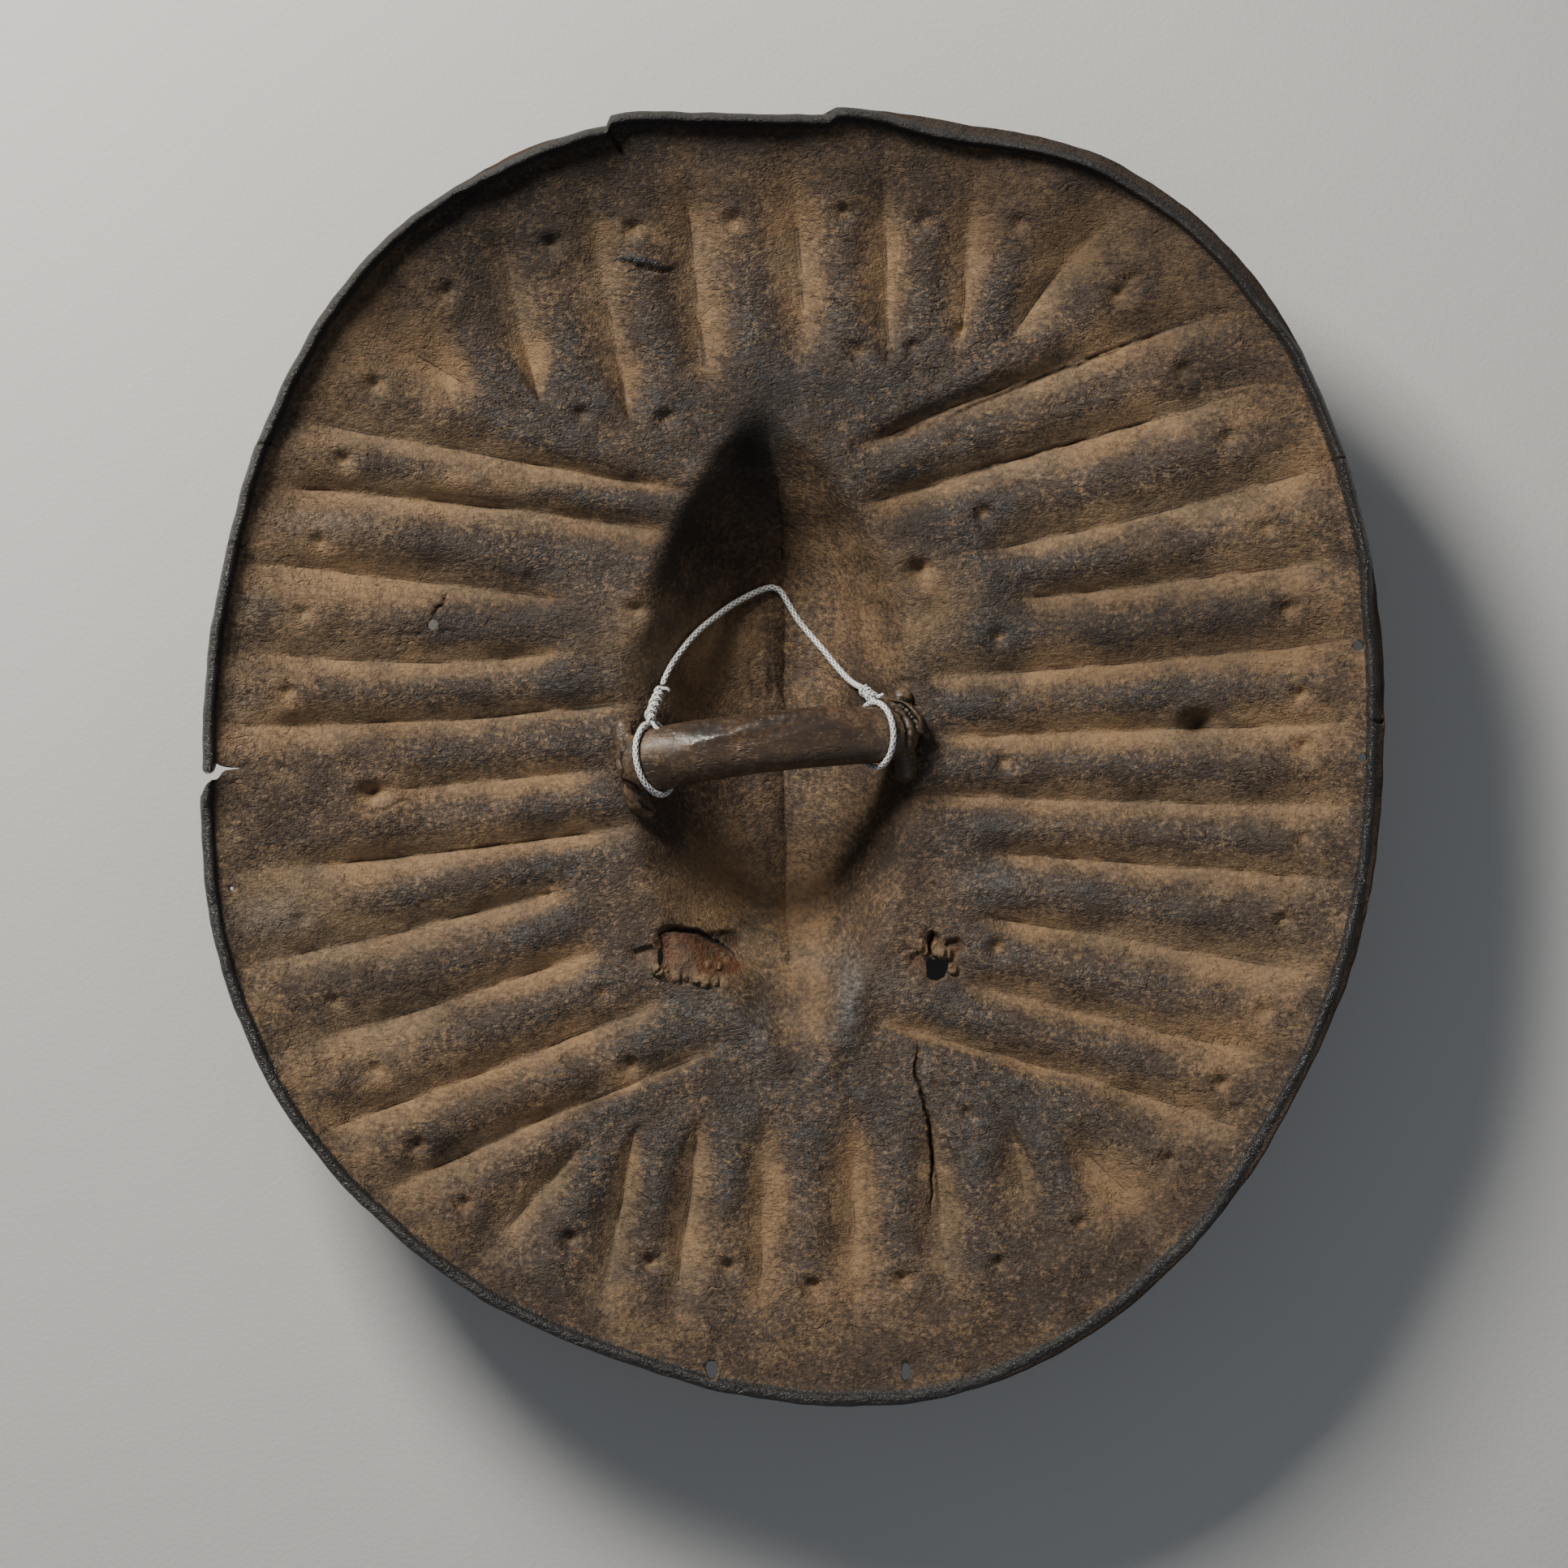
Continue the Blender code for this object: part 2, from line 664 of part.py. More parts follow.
def grip_end_path(rows):
    """A rolled end of the grip, which comes down from the bar to lie on the hide."""
    points = []
    for x, y, half_width, over in rows:
        place = on_shield(x, y)
        width = picture_length(half_width)
        points.append((*place, height_at(place) + over, width, min(width, TOE_HALF_DEPTH)))
    return smooth_path(points, 2)


def seat_cutter(grooves):
    """Everything from just above the hide's grip side down, to seat the grip on the hide."""
    inside_dimples = len(LIP_SECTION) + 1
    rings = [ring + [0, 0, SEAT_GAP] for ring in upper_rings(grooves)[inside_dimples:]]
    keel = keel_ring(grooves, HOLLOW_PAD_COLUMNS, upper=True) + [0, 0, SEAT_GAP]
    depth = [0, 0, -BOSS_DEPTH]
    return closed_shell(
        "grip_seat", rings, keel, [ring + depth for ring in rings], keel + depth
    )


def peg(name, place, radius, top, bottom):
    """An upright round peg between two heights."""
    mesh = bmesh.new()
    bmesh.ops.create_cone(
        mesh, cap_ends=True, segments=12, radius1=radius, radius2=radius, depth=top - bottom
    )
    bmesh.ops.translate(mesh, verts=mesh.verts, vec=(*place, (top + bottom) / 2))
    return finished(name, mesh)


def peg_heights(place):
    """Where a peg starts inside the grip's end and where it ends below the hide."""
    top = height_at(place) + SEAT_HEIGHT * 0.6
    drop = float(wall_drop(np.array(place[0]), np.array(place[1])))
    return top, height_at(place) - drop - PEG_STICK_OUT


def make_grip(grooves):
    grip = rounded_bar("grip", grip_path(13), 12)
    for name, rows in GRIP_ENDS.items():
        apply_boolean(grip, rounded_bar(name, grip_end_path(rows), 8), "UNION")
    apply_boolean(grip, seat_cutter(grooves), "DIFFERENCE")
    for index, pixel in enumerate(PEGS):
        place = on_shield(*pixel)
        apply_boolean(
            grip, peg(f"grip_peg_{index + 1}", place, PEG_RADIUS, *peg_heights(place)), "UNION"
        )
    return grip


def tie_loop(path, tie):
    """The closed path of a tie round the grip, its first point at the grip's upper side."""
    length = np.linalg.norm(path[-1][:3] - path[0][:3])
    slant = picture_length(tie["slant"]) / length
    spare = TIE_CLEARANCE + CORD_DIAMETER / 2
    points, outs = [], []
    for turn in np.linspace(0, 2 * math.pi, 24, endpoint=False):
        share = tie["share"] + slant * math.sin(turn)
        (x, y, z, half_width, half_height), (_, aside, up) = grip_at(path, share)
        out = aside * math.cos(turn) + up * math.sin(turn)
        reach = aside * (half_width + spare) * math.cos(turn)
        reach = reach + up * (half_height + spare) * math.sin(turn)
        points.append(np.array([x, y, z]) + reach)
        outs.append(out)
    return np.array(points), np.array(outs)


def ring_tube(name, points, outs, radius, sides):
    """A closed tube through a loop of points, each with the direction away from the middle."""
    mesh = bmesh.new()
    rings = []
    for index, (point, out) in enumerate(zip(points, outs)):
        way = points[(index + 1) % len(points)] - points[index - 1]
        way /= np.linalg.norm(way)
        across = np.cross(way, out)
        across /= np.linalg.norm(across)
        out = np.cross(across, way)
        turns = np.linspace(0, 2 * math.pi, sides, endpoint=False)
        rings.append(
            [
                mesh.verts.new(point + radius * (out * math.cos(t) + across * math.sin(t)))
                for t in turns
            ]
        )
    for index, ring in enumerate(rings):
        join_rings(mesh, ring, rings[(index + 1) % len(rings)])
    return finished(name, mesh)


def knot_path(start, tie, drop):
    """A knot of wraps that hangs down from the tie."""
    place = on_shield(*tie["knot_end"])
    end = np.array([*place, start[2] - drop])
    rows = []
    rings = tie["wraps"] * 2 + 1
    for index, share in enumerate(np.linspace(0, 1, rings)):
        radius = KNOT_RADIUS * (0.82 if index % 2 == 0 else 1.0)
        rows.append((*(start + (end - start) * share), radius, radius))
    return np.array(rows)


def make_tie(name, path):
    tie = TIES[name]
    points, outs = tie_loop(path, tie)
    loop = ring_tube(name, points, outs, CORD_DIAMETER / 2, 7)
    start = points[0] + outs[0] * KNOT_RADIUS * 0.6
    knot = rounded_bar(f"{name}_knot", knot_path(start, tie, KNOT_DROP[name]), 8)
    apply_boolean(loop, knot, "UNION")
    return loop


def make_cord():
    """The cord's free stretch between its two knots."""
    fine = smooth_path(CORD_ROUTE, 8)
    lengths = Grooves.lengths_of(fine)
    count = round(lengths[-1] / (CORD_POINT_SPACING * CORD_DIAMETER)) + 1
    places = np.linspace(0, lengths[-1], count)
    curve = bpy.data.curves.new("hanging_cord", "CURVE")
    curve.dimensions = "3D"
    curve.bevel_depth = CORD_DIAMETER / 2
    curve.bevel_resolution = 2
    curve.use_fill_caps = True
    spline = curve.splines.new("POLY")
    spline.points.add(count - 1)
    for point, place in zip(spline.points, places):
        point.co = (*(np.interp(place, lengths, fine[:, axis]) for axis in range(3)), 1.0)
    cord = bpy.data.objects.new("hanging_cord", curve)
    bpy.context.collection.objects.link(cord)
    return cord


def hole_cutter(name, x, y, half_width, half_height):
    middle = on_shield(x, y)
    mesh = bmesh.new()
    bmesh.ops.create_cone(
        mesh, cap_ends=True, segments=12, radius1=1.0, radius2=1.0, depth=1.0
    )
    cutter = finished(name, mesh)
    wide, high = picture_length(half_width), picture_length(half_height)
    for vertex in cutter.data.vertices:
        vertex.co.x = middle[0] + vertex.co.x * wide
        vertex.co.y = middle[1] + vertex.co.y * high
        vertex.co.z = BOSS_DEPTH + vertex.co.z * 3 * BOSS_DEPTH
    return cutter


def rim_tear_cutter():
    """A slot with a round end that runs in from the rim."""
    inner, outer = on_shield(*RIM_TEAR["inner"]), on_shield(*RIM_TEAR["outer"])
    half_width = picture_length(RIM_TEAR["half_width"])
    mesh = bmesh.new()
    turns = [math.pi * (step / 6 - 0.5) for step in range(7)]
    edge = [inner + half_width * np.array([math.cos(t), math.sin(t)]) for t in turns]
    edge += [outer + [0, half_width * 1.3], outer - [0, half_width * 1.3]]
    low = [mesh.verts.new((*point, BOSS_DEPTH * 0.5)) for point in edge]
    high = [mesh.verts.new((*point, BOSS_DEPTH * 2.5)) for point in edge]
    join_rings(mesh, low, high)
    mesh.faces.new(low)
    mesh.faces.new(high)
    return finished("rim_tear", mesh)


def make_hide(grooves):
    hide = closed_shell(
        "shield_hide",
        upper_rings(grooves),
        keel_ring(grooves, HOLLOW_PAD_COLUMNS, upper=True),
        lower_rings(grooves),
        keel_ring(grooves, HOLLOW_PAD_COLUMNS, upper=False),
    )
    for name, hole in HOLES.items():
        apply_boolean(hide, hole_cutter(name, *hole), "DIFFERENCE")
    apply_boolean(hide, rim_tear_cutter(), "DIFFERENCE")
    for index, pixel in enumerate(PEGS):
        place = on_shield(*pixel)
        hole = peg(
            f"peg_hole_{index + 1}", place, PEG_RADIUS + PEG_CLEARANCE, BOSS_DEPTH * 1.5, 0.0
        )
        apply_boolean(hide, hole, "DIFFERENCE")
    return hide


def main():
    clear_scene()
    grooves = Grooves()
    hide = make_hide(grooves)
    hide.data.materials.append(hide_material("dark_hide", (0.16, 0.11, 0.075), 0.6))
    grip = make_grip(grooves)
    grip.data.materials.append(hide_material("grip_hide", (0.08, 0.06, 0.05), 0.35))
    cord = hide_material("white_cord", (0.85, 0.85, 0.83), 0.9)
    for name in TIES:
        make_tie(name, grip_path(13)).data.materials.append(cord)
    make_cord().data.materials.append(cord)


main()
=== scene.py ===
"""The looks of a round embossed hide shield that lies on its front, seen from straight above.

Metres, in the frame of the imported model: +Z up, +Y towards the top of the shield, +X to its
right. Places on the hide were measured on a picture of the shield, and on_shield turns them into
metres. Each piece replaces its plain solid and follows the same shape with finer detail.
"""

import math

import bmesh
import bpy
import numpy as np
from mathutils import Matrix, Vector, kdtree, noise


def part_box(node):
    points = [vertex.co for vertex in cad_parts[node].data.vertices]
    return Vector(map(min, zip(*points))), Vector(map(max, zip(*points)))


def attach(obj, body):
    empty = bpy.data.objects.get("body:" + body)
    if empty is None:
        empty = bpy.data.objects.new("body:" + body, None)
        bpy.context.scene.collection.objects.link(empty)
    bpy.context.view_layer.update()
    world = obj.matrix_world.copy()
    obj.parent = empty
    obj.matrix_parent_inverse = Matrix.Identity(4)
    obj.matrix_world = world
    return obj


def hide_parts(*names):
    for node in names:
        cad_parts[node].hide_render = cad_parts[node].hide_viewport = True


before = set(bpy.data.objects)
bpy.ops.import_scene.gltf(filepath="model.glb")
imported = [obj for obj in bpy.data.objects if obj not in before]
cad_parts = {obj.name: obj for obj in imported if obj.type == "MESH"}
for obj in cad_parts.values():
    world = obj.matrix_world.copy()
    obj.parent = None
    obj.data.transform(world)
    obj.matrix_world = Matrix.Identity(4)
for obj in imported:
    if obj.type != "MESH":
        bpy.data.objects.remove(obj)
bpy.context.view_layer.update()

HIDE_LOW, HIDE_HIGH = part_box("shield_hide")

# The shell, as in the solid
SHIELD_WIDTH = HIDE_HIGH.x - HIDE_LOW.x
SHIELD_HEIGHT = HIDE_HIGH.y - HIDE_LOW.y
HIDE_THICKNESS = 0.007
BOSS_DEPTH = 0.066
DISH_RISE = 0.034
DISH_POWER = 2.4
KEEL_WALL = 0.004
REST_HALF_WIDTH = 0.014
LIP_TOP_HEIGHT = 0.0095
LIP_LOW_HEIGHT = 0.0030
GROOVE_DEPTH = 0.0070
GROOVE_DEPTH_AT_RIM = 0.0014
GROOVE_GROWTH = 0.045
GROOVE_OPENING = 0.012
GROOVE_FADE = 0.040
GROOVE_SHARPNESS = 1.9
GROOVE_ROUNDING = 0.05
FRONT_RIDGE_SHARE = 0.9
DIMPLE_INSET = 0.029

# Where the outline's edges lie on the picture, in its pixels
PICTURE_SIZE = 1932
PICTURE_LEFT, PICTURE_RIGHT = 248.0, 1706.0
PICTURE_TOP, PICTURE_BOTTOM = 140.0, 1732.0
PICTURE_MIDDLE = ((PICTURE_LEFT + PICTURE_RIGHT) / 2, (PICTURE_TOP + PICTURE_BOTTOM) / 2)
PIXEL_WIDTH = SHIELD_WIDTH / (PICTURE_RIGHT - PICTURE_LEFT)
PIXEL_HEIGHT = SHIELD_HEIGHT / (PICTURE_BOTTOM - PICTURE_TOP)

# The rim's reach at every 15 degrees, from the right round by the top, as a share of an even oval
RIM_REACH = (
    1.000, 1.021, 1.050, 1.076, 1.064, 1.013,
    0.992, 1.018, 1.043, 1.049, 1.024, 1.001,
    0.993, 1.012, 1.015, 1.000, 0.985, 0.978,
    0.997, 1.022, 1.025, 1.013, 1.000, 1.001,
)

# The grooves clockwise from the top one that runs to the keel. Each row has a groove's outer end
# and its inner end on the picture, and how far it bows to its left on the way in, in pixels.
GROOVES = (
    (977, 190, 995, 440, 0),
    (1089, 195, 1097, 445, 0),
    (1200, 195, 1187, 412, 0),
    (1400, 240, 1250, 410, -10),
    (1530, 378, 1062, 545, -7),
    (1560, 475, 1070, 617, 0),
    (1655, 568, 1215, 677, 6),
    (1678, 682, 1255, 735, 5),
    (1690, 785, 1140, 835, 4),
    (1690, 890, 1140, 908, 0),
    (1690, 993, 1140, 979, 3),
    (1688, 1086, 1205, 1050, 0),
    (1655, 1205, 1210, 1130, 0),
    (1620, 1312, 1185, 1212, 5),
    (1560, 1400, 1085, 1265, -6),
    (1455, 1532, 1312, 1395, 0),
    (1272, 1540, 1250, 1385, 0),
    (1170, 1600, 1147, 1380, 0),
    (1055, 1640, 1052, 1385, 0),
    (936, 1620, 944, 1385, 0),
    (828, 1640, 860, 1385, 0),
    (738, 1630, 780, 1395, 0),
    (570, 1575, 715, 1415, 0),
    (450, 1480, 878, 1300, 5),
    (372, 1402, 815, 1238, -3),
    (322, 1302, 735, 1172, -4),
    (280, 1192, 695, 1097, -5),
    (300, 1075, 790, 1018, -4),
    (455, 975, 755, 947, 0),
    (262, 894, 775, 865, -8),
    (268, 797, 690, 803, -15),
    (285, 690, 692, 738, 3),
    (300, 598, 825, 652, 8),
    (335, 512, 838, 600, 0),
    (445, 395, 588, 481, 0),
    (605, 245, 662, 492, 0),
    (722, 235, 773, 512, 0),
    (841, 190, 869, 478, 0),
)

# Unevenness: rows of height, wavelength in metres and seed
HIDE_RELIEF = ((0.0015, 0.060, 1), (0.0010, 0.022, 2), (0.0005, 0.009, 5))
RIM_WEAR = ((0.0007, 0.030, 3), (0.0005, 0.009, 4))
BEAD_WEAR = ((0.22, 0.045, 8), (0.10, 0.012, 9))
CRACK_JAGS = ((0.0011, 0.006, 41), (0.0006, 0.0021, 43))
GRIP_GRAIN = ((0.00030, 0.010, 21), (0.00014, 0.004, 22))

# The keel of the boss and the hollow behind it, on the picture
KEEL_MIDDLE = 968
KEEL_TOP = 500
KEEL_BOTTOM = 1316
KEEL_LEAN = {"top": -26, "bottom": 17}
KEEL_DEEP_FROM = 694
KEEL_DEEP_TO = 1064
HOLLOW_MIDDLE = 905
HOLLOW_HALF_LENGTH = 411
HOLLOW_REACH = {"left": 215, "right": 176}
HOLLOW_ROUNDNESS = 0.8
HOLLOW_EDGE = 3
KEEL_SHARPNESS = 0.3

KEEL_FOLD = 0.0034
KEEL_BANK = 0.0060
CREASE_DEPTH = 0.0012

# Fine grid of the hide: columns per pad, and the counts of rows outside and inside the hollow
PAD_COLUMN_COUNT = 18
ROW_COUNTS = (43, 28)
HOLLOW_FROM = 0.62
BAND_INSETS = (0.0165, 0.0200, 0.0235, 0.0265)
KEEL_FOOT_SHARES = (0.2, 0.4, 0.6, 0.75, 0.87, 0.95)
FRONT_PAD_COLUMN_COUNT = 8
FRONT_ROW_COUNTS = (15, 10)
GRID_MASKS = ("grip_side", "groove", "crease", "bead", "cut")

# The rim's curled bead: inset in metres and height as a share of the lip's height
BEAD_WIDTH = 0.0140
BEAD_SECTION = (
    (0.0, 0.10), (0.0004, 0.34), (0.0012, 0.60), (0.0023, 0.82), (0.0034, 0.95),
    (0.0044, 1.0), (0.0053, 0.90), (0.0059, 0.66), (0.0060, 0.42), (0.0065, 0.22),
    (0.0082, 0.10), (0.0108, 0.03), (0.0136, 0.0),
)
# The rounded edge below it, on the front: inset in metres and drop as a share of the thickness
EDGE_SECTION = ((0.0002, 0.30), (0.0007, 0.62), (0.0020, 0.90), (0.0060, 1.0), (0.0140, 1.0))

# Where the hide's cut edge shows outside the bead: from and to angle in degrees, and its width
CUT_EDGES = ((38, 84, 0.0042), (-48, 20, 0.0026), (-75, -48, 0.0018), (108, 122, 0.0016))
# Where the torn rim steps outwards: place on the picture, step, and how far clockwise it fades
RIM_STEPS = ((756, 160, 0.0044, 0.050), (1029, 145, 0.0036, 0.085))

# Thumb-sized dimples in the pads: place on the picture and strength
DIMPLES = (
    (550, 360, 1.0), (678, 300, 1.1), (780, 280, 1.0), (905, 270, 1.0), (1040, 260, 0.9),
    (1140, 270, 0.9), (1258, 275, 0.8), (1395, 345, 1.1), (1380, 362, 1.3), (1460, 455, 0.9),
    (1515, 540, 1.1), (1565, 650, 0.9), (1590, 750, 1.1), (1605, 855, 1.2), (1610, 920, 1.4),
    (1610, 1035, 0.7), (1585, 1135, 1.0), (1562, 1248, 0.8), (1508, 1337, 1.1), (1443, 1431, 1.2),
    (1335, 1511, 0.8), (1233, 1560, 1.0), (1113, 1580, 1.1), (1004, 1588, 1.1), (897, 1565, 1.1),
    (800, 1560, 1.1), (701, 1530, 1.2), (572, 1486, 1.0), (512, 1414, 1.0), (460, 1320, 0.8),
    (408, 1237, 0.7), (369, 1135, 0.5), (455, 978, 1.9), (352, 854, 0.9), (370, 756, 0.8),
    (392, 667, 0.7), (422, 566, 1.0), (460, 474, 1.1), (820, 512, 0.9), (1185, 405, 0.8),
    (1213, 630, 1.0), (1232, 784, 0.9), (1245, 862, 0.5), (1241, 940, 1.0), (1232, 1170, 1.0),
    (775, 1317, 0.9), (742, 1227, 0.6), (1195, 1376, 0.7), (1180, 538, 0.6), (1480, 890, 2.1),
    (1057, 430, 0.9), (1125, 425, 0.8), (715, 508, 0.8), (1135, 700, 1.6), (782, 750, 1.0),
)
DEEP_CRACK = 0.0020
DIMPLE_RADIUS = 0.0052
DIMPLE_DEPTH = 0.0030

# Cracks: half width in pixels, depth in metres, and the line on the picture
CRACKS = (
    (1.6, 0.0016, ((1062, 552), (1120, 528), (1180, 505), (1245, 479), (1300, 456), (1335, 445),
                   (1400, 421), (1455, 404))),
    (1.7, 0.0026, ((1130, 1280), (1133, 1300), (1127, 1322), (1137, 1345), (1147, 1395),
                   (1151, 1440), (1148, 1505))),
    (2.2, 0.0030, ((1152, 1180), (1148, 1165), (1151, 1148))),
    (3.4, 0.0026, ((808, 1156), (822, 1149), (840, 1148), (860, 1153), (880, 1163), (908, 1184))),
    (1.2, 0.0016, ((810, 1152), (813, 1160), (817, 1170), (816, 1184), (811, 1196), (803, 1205))),
    (1.5, 0.0020, ((530, 764), (534, 750), (541, 741), (547, 728))),
    (1.4, 0.0015, ((524, 772), (514, 780), (503, 783))),
    (1.4, 0.0015, ((537, 773), (548, 777))),
    (1.8, 0.0022, ((751, 163), (758, 176), (769, 194))),
    (1.2, 0.0010, ((288, 947), (297, 946), (304, 943), (310, 940))),
    (1.3, 0.0010, ((270, 962), (280, 966), (290, 964))),
    (1.5, 0.0020, ((310, 545), (326, 549), (336, 547))),
    (1.6, 0.0018, ((556, 252), (566, 243), (575, 240))),
    (1.6, 0.0018, ((571, 248), (581, 238), (587, 228))),
    (1.4, 0.0015, ((588, 238), (595, 231), (600, 222))),
    (1.5, 0.0018, ((279, 670), (293, 673), (301, 671))),
    (1.5, 0.0018, ((346, 471), (358, 476), (368, 476))),
    (1.5, 0.0018, ((1656, 565), (1645, 569), (1636, 568))),
    (1.5, 0.0018, ((1706, 887), (1697, 889), (1689, 888))),
    (1.5, 0.0018, ((1700, 1109), (1690, 1112), (1683, 1111))),
    (1.3, 0.0018, ((751, 323), (769, 319), (786, 325), (801, 330), (815, 331), (840, 327))),
    (1.2, 0.0010, ((1094, 1183), (1107, 1179), (1114, 1173), (1129, 1171))),
    (1.3, 0.0010, ((938, 748), (924, 772), (935, 792), (921, 818), (931, 852))),
    (1.2, 0.0008, ((953, 770), (947, 800), (952, 838), (946, 870))),
    (1.2, 0.0009, ((1292, 500), (1340, 487), (1403, 466))),
    (1.3, 0.0010, ((1112, 600), (1180, 580), (1250, 562), (1330, 541), (1420, 516))),
    (1.3, 0.0012, ((1175, 1100), (1150, 1090), (1128, 1071))),
    (1.2, 0.0010, ((640, 1066), (672, 1070), (676, 1092), (668, 1112))),
    (1.2, 0.0010, ((688, 1060), (693, 1084), (690, 1108))),
    (1.3, 0.0010, ((1480, 484), (1520, 476), (1561, 472))),
    (1.2, 0.0009, ((560, 1050), (610, 1043), (655, 1037))),
    (1.2, 0.0010, ((420, 978), (455, 1001), (497, 986), (520, 1004), (505, 1040))),
    (1.3, 0.0010, ((1085, 850), (1105, 838), (1128, 838), (1146, 852))),
    (1.2, 0.0009, ((625, 1330), (650, 1352), (676, 1366))),
)

# Raised ridges beside a tear or slit: half width in pixels, height in metres, and the line
RIDGES = (
    (5.0, 0.0016, ((1140, 1296), (1142, 1318), (1148, 1335))),
    (4.5, 0.0020, ((756, 320), (772, 315), (790, 319), (808, 325), (830, 327))),
    (21.0, 0.0034, ((1044, 1160), (1050, 1215), (1046, 1258), (1030, 1300), (1008, 1330))),
    (21.0, 0.0030, ((885, 1205), (916, 1236), (934, 1270), (952, 1304), (975, 1330))),
    (5.0, 0.0016, ((262, 962), (258, 972), (254, 990), (252, 1010))),
    (4.5, 0.0012, ((1080, 852), (1102, 833), (1130, 831), (1150, 848))),
    (3.0, 0.0012, ((640, 704), (648, 694))),
)

# Holes through the hide, on the picture: (x, y, half width, half height)
HOLE_SIDES = 20
HOLES = (
    (877, 1688, 7.5, 11.5),
    (1117, 1691, 6, 11),
    (530, 768, 6.5, 6.5),
    (1675, 795, 6.5, 6.5),
    (1680, 933, 5.5, 5.5),
    (812, 1181, 3.5, 11),
    (284, 1095, 2.5, 2.5),
)
TORN_HOLE = (
    (1144, 1206), (1143, 1190), (1146, 1180), (1152, 1185), (1158, 1183), (1164, 1187),
    (1170, 1182), (1170, 1196), (1166, 1206), (1157, 1211), (1149, 1210),
)
RIM_TEAR = (
    (236, 944), (249, 945), (251, 950), (255, 953), (258, 953), (262, 950), (264, 945),
    (265, 940), (270, 943), (276, 945), (284, 946), (293, 946), (293, 947), (284, 948),
    (277, 949), (273, 952), (270, 957), (267, 960), (262, 961), (257, 965), (253, 971),
    (249, 980), (236, 982),
)

# Lines that are worn smooth and dark: half width in pixels, and the line on the picture
POLISHED = (
    (4.5, ((750, 322), (772, 315), (790, 319), (808, 325), (834, 327))),
    (5.0, ((262, 962), (257, 972), (253, 990), (252, 1010))),
)

# No crack or crater goes deeper than this below the hide's surface
DEEPEST_CRACK = 0.0054

# Craters where the hide has crumbled: middle, reach, depth and how rough the floor is
CRATERS = (
    {"middle": (850, 1179), "reach": (72, 37), "depth": 0.0036, "crumbs": 0.0006},
    {"middle": (1159, 1184), "reach": (34, 33), "depth": 0.0036, "crumbs": 0.0007},
)
# Crumbs of hide that stand in the craters: place, half width in pixels and height
CRUMBS = (
    (809, 1197, 6.5, 0.0030), (818, 1203, 4.5, 0.0020), (831, 1204, 6.5, 0.0022),
    (843, 1206, 3.5, 0.0016), (856, 1207, 6.0, 0.0026), (868, 1210, 6.0, 0.0026),
    (880, 1211, 4.5, 0.0020), (894, 1212, 6.0, 0.0020), (872, 1190, 3.5, 0.0014),
    (884, 1193, 4.0, 0.0016), (895, 1186, 3.5, 0.0014), (889, 1180, 3.0, 0.0012),
    (1158, 1171, 8.5, 0.0030), (1168, 1177, 6.5, 0.0026), (1140, 1172, 6.0, 0.0020),
    (1176, 1196, 6.0, 0.0018),
)

# Soft patches painted on the surface, on the picture: middle, reach and strength of each
# Lighter dust, and painted light on the hollow's left wall, on the lit flats and at the sheen on
# the left
DUST_AND_LIGHT_PLACES = (
    (745, 800, 72, 58, 0.90), (1170, 755, 72, 62, 0.75), (1010, 700, 40, 120, 0.25),
    (1000, 1180, 60, 90, 0.30), (1480, 330, 90, 70, 0.25), (700, 1110, 70, 50, 0.30),
    (470, 1290, 60, 25, 0.40), (1440, 1420, 70, 50, 0.25), (1190, 1100, 60, 40, 0.20),
    (1225, 720, 70, 22, 0.25), (430, 430, 80, 50, 0.20), (880, 1200, 40, 40, 0.20),
    (850, 1275, 70, 40, 0.40), (980, 1270, 60, 50, 0.35), (1120, 1280, 60, 40, 0.35),
    (335, 1130, 50, 26, 0.60), (870, 800, 70, 80, 0.90), (900, 1090, 90, 70, 0.90),
    (850, 1040, 46, 50, 0.50), (820, 880, 40, 60, 0.30), (600, 592, 190, 16, 0.45),
    (1600, 1165, 50, 40, 0.40), (1560, 1050, 90, 30, 0.30), (900, 345, 90, 120, 0.15),
    (470, 560, 120, 30, 0.30),
)
PATINA_PLACES = (
    (1046, 1235, 20, 62, 0.80), (926, 1262, 22, 52, 0.70), (1050, 480, 110, 34, 0.55),
    (870, 520, 70, 40, 0.55), (1120, 560, 60, 34, 0.50), (1110, 1240, 60, 30, 0.25),
    (860, 1240, 60, 34, 0.25), (1190, 1045, 60, 40, 0.40), (850, 1030, 60, 40, 0.35),
    (1480, 850, 100, 34, 0.25), (640, 700, 60, 26, 0.35),
    (950, 1350, 110, 36, 0.30), (1120, 1350, 60, 36, 0.25), (1300, 1090, 90, 30, 0.35),
)
# Pale worn spots, and painted sheen on the left pads
PALE_WEAR_AND_SHEEN_PLACES = (
    (1047, 1232, 13, 52, 0.85), (938, 1276, 13, 40, 0.55), (335, 1130, 52, 20, 0.60),
    (395, 648, 60, 20, 0.45), (1020, 1190, 30, 14, 0.35), (1090, 1215, 40, 18, 0.40),
    (320, 745, 40, 16, 0.30), (860, 1240, 50, 16, 0.30), (1225, 1085, 60, 20, 0.30),
    (345, 525, 40, 12, 0.30), (1175, 1385, 30, 20, 0.20), (640, 1540, 50, 40, 0.20),
    (1145, 1318, 6, 18, 0.80), (782, 760, 40, 20, 0.25), (300, 880, 24, 40, 0.30),
)
